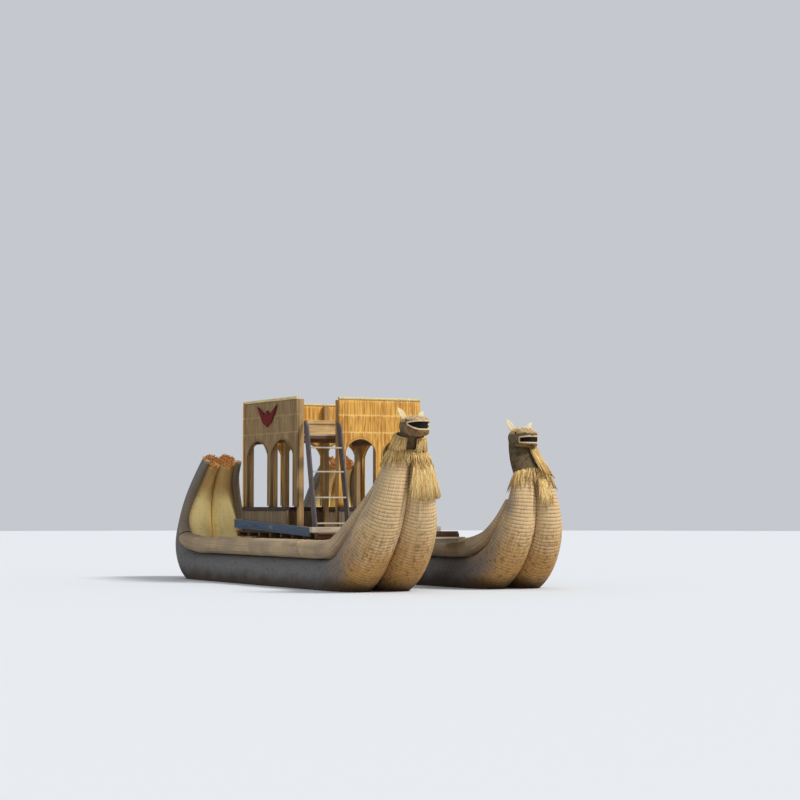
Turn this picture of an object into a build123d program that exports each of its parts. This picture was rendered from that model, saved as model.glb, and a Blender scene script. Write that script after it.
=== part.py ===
"""Twin-hulled reed boat, afloat: millimetres, +X to the bow, +Y to port, +Z up.

The origin lies on the waterline, midway between the hulls.
"""
from build123d import *
import os
from collections import namedtuple
from math import acos, cos, radians, sin, tan

# Seats
SEAT = 0.3                  # running gap between two pieces that rest on each other
TOUCH = 2.0                 # gap between neighbours in one row of like pieces

# Hulls: each is two reed bundles pressed together along a flat face
HULL_SPACING = 2800.0       # between the two hulls' middle planes
PRESS_RATIO = 0.90          # a bundle's middle to its flat face, over its radius
SIDES = {"starboard": -1, "port": 1}

# One cross section of a hull: middle of the bundles, their radius, heading of the bundles
# above the bow direction, place of the gunwale roll round the bundle (0 outboard, 90 on
# the deck side) and its radius
Station = namedtuple("Station", "x z radius heading roll_angle roll_radius")

# The straight middle body
BUNDLE_RADIUS = 420.0
BODY_HEIGHT = 150.0             # of the bundles' middles above the water
ROLL_ANGLE = 75.0
ROLL_RADIUS = 176.0
AFT_BEND = -3200.0              # where the body starts to rise
NOTCH = 1430.0                  # where the aft gunwale meets the bow gunwale
LEAD = 520.0                    # straight run that belongs to each bent end

# The bent ends, from the body outward, one row for each bend: length of the bend, how far
# it turns up, and what the section is at its far end
Bend = namedtuple("Bend", "run turn radius roll_angle roll_radius")
STERN = [
    Bend(520, 8, 422, 68, 178), Bend(520, 28, 432, 58, 178), Bend(520, 32, 405, 50, 140),
    Bend(520, 25, 335, 37, 92), Bend(520, 19, 270, 38, 80), Bend(520, 17, 215, 40, 60),
    Bend(400, 14, 192, 40, 48),
]
EDGING_TIP = 70.0               # edging past the bundles' cut ends
ELBOW_BENDS = 3                 # bends that carry the aft gunwale; the rest carry edging
Bow = namedtuple("Bow", "start bends")
BOWS = {
    "starboard": Bow(1780, [
        Bend(550, 1, 420, 75, 176), Bend(550, 11, 432, 75, 172), Bend(550, 20, 445, 75, 162),
        Bend(550, 15, 432, 75, 142), Bend(550, 10, 392, 75, 110), Bend(550, 15, 312, 75, 78),
        Bend(550, 12, 222, 75, 50), Bend(220, 5, 182, 75, 38)]),
    "port": Bow(1600, [
        Bend(550, 1, 420, 75, 176), Bend(550, 5, 420, 75, 172), Bend(550, 17, 413, 75, 162),
        Bend(550, 23, 380, 75, 138), Bend(550, 21, 338, 75, 104), Bend(550, 22, 262, 75, 70),
        Bend(430, 22, 196, 75, 44)]),
}

# Heads: middle of the skull, height of the mouth's corner over it, how far the lower jaw
# drops at the mouth's reach, and one ear's length over the other's
Head = namedtuple("Head", "x z mouth drop inner_ear outer_ear")
HEADS = {
    "starboard": Head(4790, 2900, 35, 140, 0.7, 1.0),
    "port": Head(3790, 2770, -35, 97, 1.1, 0.85),
}
HEAD_LENGTH = 700.0
HEAD_WIDTH = 430.0
HEAD_HEIGHT = 350.0
# Skull sections from the nape to the muzzle: along, width, height and drop as shares
SKULL = [(-0.50, 0.55, 0.60, 0.02), (-0.36, 0.86, 0.92, 0.02), (-0.08, 1.00, 1.00, 0.00),
         (0.22, 0.94, 0.98, 0.05), (0.40, 0.78, 0.90, 0.07), (0.50, 0.46, 0.66, 0.05)]
MOUTH_CORNER = 60.0             # of the mouth, forward of the skull's middle
MOUTH_CORNER_GAP = 24.0
MOUTH_RISE = 45.0               # upper lip at the mouth's reach, above the corner
MOUTH_PAST = 110.0              # the mouth's reach past the muzzle
TONGUE_REACH = 180.0            # of the filled part between the cheeks, from the corner
CHEEK = 35.0                    # depth of the mouth's slot beside the filled part
EAR_LENGTH = 250.0
EAR_WIDTH = 110.0
EAR_THICK = 34.0
EAR_LEAN = 38.0                 # outboard of upright
EAR_SPREAD = 120.0              # an ear's foot from the head's middle plane
EAR_FOOT = (-110.0, 128.0)      # forward of and above the skull's middle

# Matting between the bundles' end and the skull, with straw tied round it: half sizes at
# the foot and inside the skull, how far aft of the skull's middle it ends, forward lean of
# that end for each unit up
Throat = namedtuple("Throat", "foot_wide foot_deep top_wide top_deep back lean")
THROATS = {
    "starboard": Throat(250, 165, 185, 160, 98, 0.5),
    "port": Throat(300, 185, 205, 205, 125, -0.2),
}
# Straw on the throat: how far it reaches up from the foot, how thick it lies at its top and
# at the foot, and the part it leaves bare, across and forward of the foot's middle
Ruff = namedtuple("Ruff", "reach top foot bare bare_from")
RUFFS = {
    "starboard": Ruff(300, 80, 105, (-190, 40), 0),
    "port": Ruff(620, 45, 75, (-600, 40), -900),
}

# Straw round each neck: distance of the top edge below the bundles' end, length down the
# neck, half width and half depth at the top and at the hem
Skirt = namedtuple("Skirt", "drop length top_width top_depth hem_width hem_depth")
COLLARS = {
    "starboard": Skirt(0, 120, 395, 245, 440, 275),
    "port": Skirt(0, 110, 420, 250, 450, 275),
}
CAPES = {
    "starboard": Skirt(120 + TOUCH, 620, 430, 265, 690, 410),
    "port": Skirt(110 + TOUCH, 390, 450, 275, 610, 370),
}
CAPE_SPANS = {"starboard": (-40, 700), "port": (-30, 200)}   # across, from the hull's middle

# Deck between the hulls
DECK_AFT = -3200.0
DECK_FORE = 800.0
DECK_HALF = 1360.0
BEAM_WIDE = 100.0
BEAM_DEEP = 80.0
BEAM_COUNT = 8
BEAM_INSET = 60.0               # first and last beam, in from the planks' ends
BEAM_SEAT = 0.8                 # gap over the gunwale rolls
PLANK_THICK = 30.0
PLANK_COUNT = 13
SIDE_BOARD_THICK = 40.0
SIDE_BOARD_AFT_TOP = 1250.0
SIDE_BOARD_FORE_TOP = 1110.0
SIDE_BOARD_HEIGHT = 175.0
SIDE_BOARD_FORE = 490.0
LADDER_STOP = (110.0, 105.0)    # timber across the deck: along the boat, up

# Loose things between the bows: boards wedged between the inner gunwale rolls, each so
# much shorter than the hulls' spacing, with rolled mats on them
Board = namedtuple("Board", "x shorter wide thick turn pitch under")
FORE_BOARDS = [Board(2180, 1350, 220, 30, 2, 2, 861.2), Board(2425, 1350, 230, 30, -1, 5, 842.1),
               Board(2670, 1340, 220, 30, 1, 8, 904.7)]
MAT_BOARD = 1                   # the row of the board that carries the mats
MAT_ROLL_MIDDLE = 250.0
MAT_ROLL_RADIUS = 85.0
MAT_ROLL_LENGTH = 900.0

# Cabin
CABIN_AFT = -2880.0
CABIN_FORE = -170.0
CABIN_HALF = DECK_HALF
THATCH = 80.0                   # thickness of a reed wall
POST = 100.0
PARAPET_TOP = 1430.0
PARAPET_THICK = 60.0
SILL = (110.0, 70.0)            # wide, deep
SIDE_DOOR = 520.0               # opening in the starboard parapet, at its fore end
ENTRANCE_PORT = -450.0          # the front wall's free edge
WALL_TOP = 3610.0
ARCH_SPRING = 2530.0
ARCH_TOP = 2850.0
ARCH_RUNOUT = 20.0              # how far a cut runs on past the wall's edge
TOP_POLE = 30.0                 # radius
UPPER_FLOOR = 2930.0
UPPER_PLANK = 28.0
JOIST = 60.0
BEARER = 60.0
JOIST_COUNT = 6
UPPER_PLANK_COUNT = 11

# Ladder in the entrance
LADDER_HALF_GAP = 355.0
LADDER_INSET = 525.0            # the ladder's middle from the cabin's starboard face
STRINGER_THICK = 30.0
STRINGER_DEEP = 170.0
LADDER_LEAN = 11.7              # from upright
STRINGER_TOP = 3160.0
STRINGER_ROUND = 120.0          # of the stringers' front upper corners
STEP_HEIGHTS = [1200.0, 1700.0, 2200.0, 2670.0]
STEP_THICK = 28.0
STEP_DEEP = 150.0

# Bench on the upper deck
BENCH_BACK = -1250.0
BENCH_DEEP = 340.0
BENCH_INSETS = (570.0, 260.0)   # its ends from the cabin's starboard and port faces
BENCH_HEIGHT = 300.0
BENCH_BOARD = 70.0
BENCH_LIP = 20.0
ARM_FOOT = 120.0
ARM_RUN = 240.0
ARM_RISE = 380.0
ARM_THICK = 30.0

# Figure tied to the starboard wall
FIGURE_MIDDLE = (-1600.0, 3320.0)
FIGURE_SPAN = 980.0
FIGURE_RISE = 430.0
FIGURE_THICK = 25.0


def hull_y(side):
    return SIDES[side] * HULL_SPACING / 2


def straight(x):
    """A cross section of the straight middle body."""
    return Station(x, BODY_HEIGHT, BUNDLE_RADIUS, 0, ROLL_ANGLE, ROLL_RADIUS)


def walk(x, toward, bends):
    """Cross sections at the far end of each bend, walking out from the body."""
    z = BODY_HEIGHT
    turned = 0
    rows = []
    for b in bends:
        middle = radians(turned + b.turn / 2)
        x += toward * b.run * cos(middle)
        z += b.run * sin(middle)
        turned += b.turn
        rows.append(Station(x, z, b.radius, toward * turned, b.roll_angle, b.roll_radius))
    return rows


STERN_ROWS = walk(AFT_BEND, -1, STERN)
BOW_ROWS = {side: walk(bow.start, 1, bow.bends) for side, bow in BOWS.items()}
BODY_AFT = AFT_BEND + LEAD


def across(side, station):
    """Plane across a hull: local X to port, local Y to the deck side."""
    a = radians(station.heading)
    return Plane(origin=(station.x, hull_y(side), station.z), x_dir=(0, 1, 0),
                 z_dir=(cos(a), 0, sin(a)))


def bundle_section(side, station, hand):
    """Circle with its inner side pressed flat on the hull's middle plane."""
    r = station.radius
    flat = r * sin(acos(PRESS_RATIO))
    reach = hand * (PRESS_RATIO + 1) * r
    outline = Line((0, -flat), (0, flat)) + ThreePointArc((0, flat), (reach, 0), (0, -flat))
    face = make_face(outline)
    face = Pos(hand * SEAT / 2, 0) * face
    return across(side, station) * face


def bundle(side, hand):
    """One of a hull's two great reed bundles, from the stern's cut end to the neck."""
    def faces(rows):
        return [bundle_section(side, s, hand) for s in rows]

    start = BOWS[side].start
    stern = loft(faces([straight(BODY_AFT), straight(AFT_BEND)] + STERN_ROWS))
    body = extrude(bundle_section(side, straight(BODY_AFT), hand), start - LEAD - BODY_AFT)
    bow = loft(faces([straight(start - LEAD), straight(start)] + BOW_ROWS[side]))
    return stern + body + bow


def roll_section(side, station, hand):
    """Section of a gunwale roll that rests on its bundle."""
    a = radians(station.roll_angle)
    reach = station.radius + station.roll_radius + SEAT
    u = hand * (PRESS_RATIO * station.radius + reach * cos(a))
    v = reach * sin(a)
    return across(side, station) * (Pos(u, v) * Circle(station.roll_radius))


def roll(side, rows, hand):
    return loft([roll_section(side, s, hand) for s in rows])


def aft_gunwale(side, hand):
    """Roll from the elbow at the stern to the notch before the ladder."""
    rows = [straight(BODY_AFT), straight(AFT_BEND)] + STERN_ROWS[:ELBOW_BENDS]
    body = extrude(roll_section(side, straight(BODY_AFT), hand), NOTCH - TOUCH - BODY_AFT)
    return roll(side, rows, hand) + body


def bow_gunwale(side, hand):
    """Roll from the notch up the neck to under the straw collar."""
    return roll(side, [straight(NOTCH)] + BOW_ROWS[side][:-1], hand)


def stern_edging(side, hand):
    """Slim roll up the stern's edge and a little past the cut reed ends."""
    end = STERN_ROWS[-1]
    a = radians(end.heading)
    tip = end._replace(x=end.x - EDGING_TIP * cos(a), z=end.z - EDGING_TIP * sin(a))
    return roll(side, STERN_ROWS[ELBOW_BENDS:] + [tip], hand)


def both_hands(make, side):
    """The outer and inner one of a hull's pair of rolls."""
    return Compound(children=[make(side, hand) for hand in (-1, 1)])


def hull_nodes(nodes, side):
    inward = -SIDES[side]
    nodes[f"bundle_outer_{side}"] = bundle(side, -inward)
    nodes[f"bundle_inner_{side}"] = bundle(side, inward)
    nodes[f"gunwales_aft_{side}"] = both_hands(aft_gunwale, side)
    nodes[f"gunwales_bow_{side}"] = both_hands(bow_gunwale, side)
    nodes[f"stern_edging_{side}"] = both_hands(stern_edging, side)


def neck_plane(side, drop):
    """Plane across the neck, a distance down from the end of the bundles."""
    rows = BOW_ROWS[side]
    upper = rows[-1]
    for lower, bend in zip(rows[-2::-1], BOWS[side].bends[::-1]):
        if drop <= bend.run:
            break
        drop -= bend.run
        upper = lower
    a = radians(upper.heading)
    share = max(drop, 0) / bend.run
    turn = radians(upper.heading + (lower.heading - upper.heading) * share)
    if drop < 0:
        x, z = upper.x - drop * cos(a), upper.z - drop * sin(a)
    else:
        x, z = (u + (v - u) * share for u, v in ((upper.x, lower.x), (upper.z, lower.z)))
    return Plane(origin=(x, hull_y(side), z), x_dir=(0, 1, 0), z_dir=(cos(turn), 0, sin(turn)))


def skirt(side, s):
    """Straw round the neck, thicker towards its hem, solid to the neck's middle."""
    rings = []
    for share in (0, 0.5, 1):
        wide = s.top_width + (s.hem_width - s.top_width) * share
        deep = s.top_depth + (s.hem_depth - s.top_depth) * share
        rings.append(neck_plane(side, s.drop + s.length * share) * Ellipse(wide, deep))
    return loft(rings)


def cape(side):
    """The longer straw that hangs down before the neck."""
    s = CAPES[side]
    middle = neck_plane(side, s.drop + s.length).origin
    low, high = (hull_y(side) + y for y in CAPE_SPANS[side])
    tall = s.length * 2
    front = block((middle.X, middle.X + tall), (low, high), (middle.Z - tall, middle.Z + tall))
    return skirt(side, s) & front


def head_place(side):
    h = HEADS[side]
    return Pos(h.x, hull_y(side), h.z)


def ear(hand, share):
    """Leaf-shaped ear, standing up and leaning outboard."""
    length = EAR_LENGTH * share
    half = EAR_WIDTH / 2
    leaf = make_face(ThreePointArc((-half, 0), (-half * 0.72, length * 0.6), (0, length))
                     + ThreePointArc((0, length), (half * 0.72, length * 0.6), (half, 0))
                     + Line((half, 0), (-half, 0)))
    blade = extrude(Plane.YZ * leaf, EAR_THICK / 2, both=True)
    place = Pos(EAR_FOOT[0], hand * EAR_SPREAD, EAR_FOOT[1]) * Rot(-hand * EAR_LEAN, 0, 0)
    return place * blade


def mouth(row):
    """Room of the open mouth: right across in front, and a slot along each cheek."""
    reach = HEAD_LENGTH / 2 + MOUTH_PAST
    half = MOUTH_CORNER_GAP / 2
    wedge = make_face(Polyline((MOUTH_CORNER, row.mouth - half), (MOUTH_CORNER, row.mouth + half),
                               (reach, row.mouth + MOUTH_RISE), (reach, row.mouth - row.drop),
                               close=True))
    room = extrude(Plane.XZ * wedge, HEAD_WIDTH, both=True)
    filled = extrude(Ellipse(TONGUE_REACH, HEAD_WIDTH / 2 - CHEEK), HEAD_HEIGHT, both=True)
    return room - Pos(MOUTH_CORNER, 0, 0) * filled


def head(side):
    """Animal head: skull, open mouth and two ears."""
    sections = []
    for along, wide, high, drop in SKULL:
        plane = Plane(origin=(along * HEAD_LENGTH, 0, -drop * HEAD_HEIGHT), x_dir=(0, 1, 0),
                      z_dir=(1, 0, 0))
        sections.append(plane * Ellipse(wide * HEAD_WIDTH / 2, high * HEAD_HEIGHT / 2))
    row = HEADS[side]
    shares = {SIDES[side]: row.outer_ear, -SIDES[side]: row.inner_ear}
    solid = loft(sections) - mouth(row)
    for hand, share in shares.items():
        solid = solid + ear(hand, share)
    return head_place(side) * solid


def throat_planes(side):
    """Planes across the throat: on the bundles' end, and inside the skull."""
    h = HEADS[side]
    top = Plane(origin=(h.x - THROATS[side].back, hull_y(side), h.z), x_dir=(0, 1, 0),
                z_dir=(THROATS[side].lean, 0, 1))
    return neck_plane(side, -SEAT), top


def throat(side):
    """Matting from the end of the bundles up to the skull."""
    t = THROATS[side]
    foot, top = throat_planes(side)
    return loft([foot * Ellipse(t.foot_wide, t.foot_deep), top * Ellipse(t.top_wide, t.top_deep)])


def ruff(side):
    """Straw tied round the throat, which shows bare between its bunches."""
    t = THROATS[side]
    r = RUFFS[side]
    foot, top = throat_planes(side)
    rise = top.origin - foot.origin
    share = r.reach / rise.length
    rim = Plane(origin=foot.origin + rise * share, x_dir=(0, 1, 0),
                z_dir=foot.z_dir + (top.z_dir - foot.z_dir) * share)
    wide = t.foot_wide + (t.top_wide - t.foot_wide) * share + r.top
    deep = t.foot_deep + (t.top_deep - t.foot_deep) * share + r.top
    straw = loft([foot * Ellipse(t.foot_wide + r.foot, t.foot_deep + r.foot),
                  rim * Ellipse(wide, deep)])
    low, high = (hull_y(side) + y for y in r.bare)
    far = HEAD_LENGTH * 2
    bare = block((foot.origin.X + r.bare_from, foot.origin.X + far), (low, high),
                 (foot.origin.Z - far, foot.origin.Z + far))
    return straw - bare


def neck_nodes(nodes, side):
    bundles = [nodes[f"bundle_outer_{side}"], nodes[f"bundle_inner_{side}"]]
    rolls = nodes[f"gunwales_bow_{side}"]
    skull = head(side)
    matting = throat(side)
    nodes[f"throat_{side}"] = matting - skull
    nodes[f"head_{side}"] = skull
    straws = (ruff(side) - matting - skull).solids()
    nodes[f"ruff_{side}"] = max(straws, key=lambda straw: straw.volume)
    nodes[f"collar_{side}"] = skirt(side, COLLARS[side]) - bundles - rolls
    nodes[f"cape_{side}"] = cape(side) - bundles - rolls


def gunwale_top():
    """Height of the gunwale rolls' upper side amidships."""
    s = straight(BODY_AFT)
    reach = s.radius + s.roll_radius + SEAT
    return s.z + reach * sin(radians(s.roll_angle)) + s.roll_radius


DECK_UNDER = gunwale_top() + BEAM_SEAT + BEAM_DEEP
DECK_TOP = DECK_UNDER + PLANK_THICK


def block(x, y, z):
    """Box between two values on each axis."""
    return Pos(x[0], y[0], z[0]) * Box(x[1] - x[0], y[1] - y[0], z[1] - z[0],
                                       align=(Align.MIN, Align.MIN, Align.MIN))


def spread(first, last, count):
    return [first + (last - first) * i / (count - 1) for i in range(count)]


def cross_beams():
    half = BEAM_WIDE / 2
    xs = spread(DECK_AFT + BEAM_INSET + half, DECK_FORE - BEAM_INSET - half, BEAM_COUNT)
    return Compound(children=[block((x - half, x + half), (-DECK_HALF, DECK_HALF),
                                    (DECK_UNDER - BEAM_DEEP, DECK_UNDER)) for x in xs])


def plank_row(x, half, z, count, thick):
    """Planks laid fore and aft, side by side."""
    wide = (2 * half + TOUCH) / count
    rows = []
    for i in range(count):
        y = -half + i * wide
        rows.append(block(x, (y, y + wide - TOUCH), (z, z + thick)))
    return Compound(children=rows)


def side_board(side):
    """Board along the deck's edge, lower towards the bow."""
    hand = SIDES[side]
    outline = make_face(Polyline((DECK_AFT, SIDE_BOARD_AFT_TOP), (SIDE_BOARD_FORE, SIDE_BOARD_FORE_TOP),
                                 (SIDE_BOARD_FORE, SIDE_BOARD_FORE_TOP - SIDE_BOARD_HEIGHT),
                                 (DECK_AFT, SIDE_BOARD_AFT_TOP - SIDE_BOARD_HEIGHT), close=True))
    board = extrude(Plane.XZ * outline, -SIDE_BOARD_THICK)
    y = DECK_HALF + SEAT if hand > 0 else -DECK_HALF - SEAT - SIDE_BOARD_THICK
    return Pos(0, y, 0) * board


def ladder_stop():
    """Timber across the deck before the ladder's foot, its ends past the side boards."""
    x = SIDE_BOARD_FORE + SEAT
    half = DECK_HALF + SIDE_BOARD_THICK
    z = DECK_TOP + SEAT
    return block((x, x + LADDER_STOP[0]), (-half, half), (z, z + LADDER_STOP[1]))


def deck_nodes(nodes):
    nodes["cross_beams"] = cross_beams()
    nodes["deck_planks"] = plank_row((DECK_AFT, DECK_FORE), DECK_HALF, DECK_UNDER, PLANK_COUNT,
                                     PLANK_THICK)
    nodes["ladder_stop"] = ladder_stop()
    nodes["foredeck_boards"] = foredeck_boards()
    nodes["mat_rolls"] = mat_rolls()
    for side in SIDES:
        nodes[f"side_board_{side}"] = side_board(side)


def board_place(b):
    return Pos(b.x, 0, b.under) * Rot(0, -b.pitch, b.turn)


def foredeck_boards():
    """Loose boards wedged between the two inner gunwale rolls."""
    boards = []
    for b in FORE_BOARDS:
        length = HULL_SPACING - b.shorter
        board = Box(b.wide, length, b.thick, align=(Align.CENTER, Align.CENTER, Align.MIN))
        boards.append(board_place(b) * board)
    return Compound(children=boards)


def mat_rolls():
    """Rolled brown mats lying on a loose board."""
    b = FORE_BOARDS[MAT_BOARD]
    z = b.thick + SEAT + MAT_ROLL_RADIUS
    rolls = []
    for side in (-1, 1):
        x = side * (MAT_ROLL_RADIUS + TOUCH)
        rolls.append(board_place(b) * Pos(x, MAT_ROLL_MIDDLE, z) * Rot(90, 0, 0)
                     * Cylinder(MAT_ROLL_RADIUS, MAT_ROLL_LENGTH))
    return Compound(children=rolls)


WALL_FOOT = PARAPET_TOP + SEAT + SILL[1] + SEAT      # the reed walls' legs, on the sills

# Cabin walls, one row each: which way the wall runs, its outer face, its two ends,
# and the middles of the posts between its end posts
Wall = namedtuple("Wall", "runs face low high middles")
WALLS = {
    "starboard": Wall("x", -CABIN_HALF, CABIN_AFT, CABIN_FORE, [-1550]),
    "port": Wall("x", CABIN_HALF, CABIN_AFT, CABIN_FORE, [-1550]),
    "rear": Wall("y", CABIN_AFT, -CABIN_HALF, CABIN_HALF, [-430, 480]),
    "front": Wall("y", CABIN_FORE, ENTRANCE_PORT, CABIN_HALF, [430]),
}
END_FOOT = 130.0                # reed left beside the first and last arch
MIDDLE_FOOT = 110.0             # reed left between two arches


def wall_ends(name, inset):
    """Ends of a wall's run; the long walls stop inside the athwart ones."""
    w = WALLS[name]
    if w.runs == "x":
        return w.low + inset, w.high - inset
    return w.low, w.high


def stand(name, low, high, thick, inset, outline):
    """Extrude an upright outline (along, z) inward from a wall's outer face."""
    w = WALLS[name]
    inward = -1 if w.face > (0 if w.runs == "x" else CABIN_AFT / 2) else 1
    depth = thick * inward
    if w.runs == "x":
        solid = extrude(Plane.XZ * outline, -depth)
        return Pos(0, w.face + inset * inward, 0) * solid
    solid = extrude(Plane.YZ * outline, depth)
    return Pos(w.face + inset * inward, 0, 0) * solid


def arch(low, high):
    """Opening with straight sides and a round head, cut up into a wall's lower edge."""
    rise = ARCH_TOP - ARCH_SPRING
    return make_face(Line((low, ARCH_SPRING), (low, WALL_FOOT - ARCH_RUNOUT))
                     + Line((low, WALL_FOOT - ARCH_RUNOUT), (high, WALL_FOOT - ARCH_RUNOUT))
                     + Line((high, WALL_FOOT - ARCH_RUNOUT), (high, ARCH_SPRING))
                     + ThreePointArc((high, ARCH_SPRING), ((low + high) / 2, ARCH_SPRING + rise),
                                     (low, ARCH_SPRING)))


def rect(low, high, bottom, top):
    return Pos((low + high) / 2, (bottom + top) / 2) * Rectangle(high - low, top - bottom)


def arch_spans(name, low, high):
    """Ends of each arch in a wall that runs from low to high."""
    edges = [low + END_FOOT]
    for middle in WALLS[name].middles:
        edges += [middle - MIDDLE_FOOT / 2, middle + MIDDLE_FOOT / 2]
    edges.append(high - END_FOOT)
    return list(zip(edges[::2], edges[1::2]))


def reed_wall(name):
    """Reed wall with its arches, whose legs come down to the sill."""
    low, high = wall_ends(name, THATCH + SEAT)
    outline = rect(low, high, WALL_FOOT, WALL_TOP)
    for span in arch_spans(name, low, high):
        outline -= arch(*span)
    return stand(name, low, high, THATCH, 0, outline)


def post_places():
    """Middles of the cabin's posts, just inside the reed walls."""
    inner = CABIN_HALF - THATCH - SEAT - POST / 2
    aft = CABIN_AFT + THATCH + SEAT + POST / 2
    fore = CABIN_FORE - THATCH - SEAT - POST / 2
    places = [(aft, -inner), (fore, -inner), (aft, inner), (fore, inner)]
    places += [(x, y) for x in WALLS["starboard"].middles for y in (-inner, inner)]
    places += [(aft, y) for y in WALLS["rear"].middles]
    places += [(fore, y) for y in WALLS["front"].middles]
    places.append((fore, ENTRANCE_PORT + POST / 2))
    return places


def posts():
    half = POST / 2
    return Compound(children=[block((x - half, x + half), (y - half, y + half),
                                    (DECK_TOP + SEAT, WALL_TOP)) for x, y in post_places()])


def parapet(name):
    """Low panel that stands on the deck under an upper wall."""
    low, high = wall_ends(name, PARAPET_THICK + SEAT)
    if name == "starboard":
        high = CABIN_FORE - SIDE_DOOR
    return stand(name, low, high, PARAPET_THICK, 0,
                 rect(low, high, DECK_TOP + SEAT, PARAPET_TOP))


def sill(name):
    """Rail along the top of a parapet panel, outside the posts."""
    wide, deep = SILL
    low, high = wall_ends(name, wide + SEAT)
    if name == "starboard":
        high = CABIN_FORE - SIDE_DOOR
    room = THATCH
    return stand(name, low, high, room, 0, rect(low, high, PARAPET_TOP + SEAT,
                                                PARAPET_TOP + SEAT + deep))


def top_poles():
    """Round poles along the tops of the four walls."""
    z = WALL_TOP + SEAT + TOP_POLE
    middle = THATCH / 2
    poles = []
    for name, w in WALLS.items():
        low, high = wall_ends(name, THATCH)
        length = high - low - TOUCH
        centre = (low + high) / 2
        inward = -1 if w.face > (0 if w.runs == "x" else CABIN_AFT / 2) else 1
        if w.runs == "x":
            place = Pos(centre, w.face + inward * middle, z) * Rot(0, 90, 0)
        else:
            place = Pos(w.face + inward * middle, centre, z) * Rot(90, 0, 0)
        poles.append(place * Cylinder(TOP_POLE, length))
    return Compound(children=poles)


UPPER_UNDER = UPPER_FLOOR - UPPER_PLANK
JOIST_UNDER = UPPER_UNDER - JOIST
ROOM_HALF = CABIN_HALF - THATCH - POST - 2 * SEAT      # between the posts' inner faces
ROOM_AFT = CABIN_AFT + THATCH + POST + 2 * SEAT
ROOM_FORE = CABIN_FORE - THATCH - POST - 2 * SEAT


def bearers():
    """Rails along the posts' inner faces that carry the upper deck's joists."""
    rails = []
    for hand in (-1, 1):
        outer = hand * (ROOM_HALF - SEAT)
        y = sorted((outer, outer - hand * BEARER))
        rails.append(block((CABIN_AFT + THATCH + SEAT, CABIN_FORE - THATCH - SEAT), y,
                           (JOIST_UNDER - BEARER, JOIST_UNDER)))
    return Compound(children=rails)


def joists():
    half = JOIST / 2
    xs = spread(ROOM_AFT + half + SEAT, ROOM_FORE - half - SEAT, JOIST_COUNT)
    reach = ROOM_HALF - SEAT
    return Compound(children=[block((x - half, x + half), (-reach, reach),
                                    (JOIST_UNDER, UPPER_UNDER)) for x in xs])


def upper_planks():
    return plank_row((ROOM_AFT + SEAT, ROOM_FORE - SEAT), ROOM_HALF - SEAT, UPPER_UNDER,
                     UPPER_PLANK_COUNT, UPPER_PLANK)


LADDER_MIDDLE = LADDER_INSET - CABIN_HALF


def ladder_x(z):
    """Middle line of the ladder at a height; its back leans on the upper deck's edge."""
    slope = tan(radians(LADDER_LEAN))
    back = CABIN_FORE + SEAT + (UPPER_FLOOR - z) * slope
    return back + STRINGER_DEEP / 2 / cos(radians(LADDER_LEAN))


def ladder_stringers():
    half = STRINGER_DEEP / 2 / cos(radians(LADDER_LEAN))
    foot = DECK_TOP + SEAT
    shoulder = STRINGER_TOP - STRINGER_ROUND
    middle = STRINGER_TOP - STRINGER_ROUND * (1 - sin(radians(45)))
    back = ladder_x(STRINGER_TOP) - half
    bulge = back + (ladder_x(shoulder) + half - back) * cos(radians(45))
    outline = make_face(Polyline((back, STRINGER_TOP), (ladder_x(foot) - half, foot),
                                 (ladder_x(foot) + half, foot), (ladder_x(shoulder) + half, shoulder))
                        + ThreePointArc((ladder_x(shoulder) + half, shoulder), (bulge, middle),
                                        (back, STRINGER_TOP)))
    pair = []
    for hand in (-1, 1):
        y = LADDER_MIDDLE + hand * LADDER_HALF_GAP
        pair.append(Pos(0, y + STRINGER_THICK / 2, 0)
                    * extrude(Plane.XZ * outline, STRINGER_THICK))
    return Compound(children=pair)


def ladder_steps():
    reach = LADDER_HALF_GAP - STRINGER_THICK / 2 - SEAT
    steps = []
    for z in STEP_HEIGHTS:
        x = ladder_x(z)
        steps.append(block((x - STEP_DEEP / 2, x + STEP_DEEP / 2),
                           (LADDER_MIDDLE - reach, LADDER_MIDDLE + reach), (z - STEP_THICK, z)))
    return Compound(children=steps)


BENCH_LOW = BENCH_INSETS[0] - CABIN_HALF
BENCH_HIGH = CABIN_HALF - BENCH_INSETS[1]


def bench():
    """Box seat on the upper deck with a board along its top."""
    low, high = BENCH_LOW, BENCH_HIGH
    z = UPPER_FLOOR + SEAT
    box = block((BENCH_BACK, BENCH_BACK + BENCH_DEEP), (low, high),
                (z, z + BENCH_HEIGHT - BENCH_BOARD))
    lip = block((BENCH_BACK, BENCH_BACK + BENCH_DEEP + BENCH_LIP), (low - BENCH_LIP, high + BENCH_LIP),
                (z + BENCH_HEIGHT - BENCH_BOARD, z + BENCH_HEIGHT))
    return box + lip


def bench_arm():
    """Slanting board at the bench's starboard end."""
    z = UPPER_FLOOR + SEAT
    low = BENCH_LOW - BENCH_LIP - SEAT
    outline = make_face(Polyline((low, z), (low, z + ARM_FOOT), (low - ARM_RUN, z + ARM_RISE),
                                 (low - ARM_RUN, z + ARM_RISE - ARM_FOOT), close=True))
    return Pos(BENCH_BACK + BENCH_DEEP, 0, 0) * extrude(Plane.YZ * outline, -ARM_THICK)


def wall_figure():
    """Winged figure on the starboard reed wall: a deep V with a tail between the wings."""
    x, z = FIGURE_MIDDLE
    half = FIGURE_SPAN / 2
    rise = FIGURE_RISE / 2
    outline = make_face(Polyline((x - half, z + rise), (x - half * 0.25, z + rise * 0.1),
                                 (x, z + rise * 0.55), (x + half * 0.25, z + rise * 0.1),
                                 (x + half, z + rise), (x + half * 0.45, z - rise * 0.55),
                                 (x, z - rise), (x - half * 0.45, z - rise * 0.55), close=True))
    return Pos(0, -CABIN_HALF - SEAT, 0) * extrude(Plane.XZ * outline, FIGURE_THICK)


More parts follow.
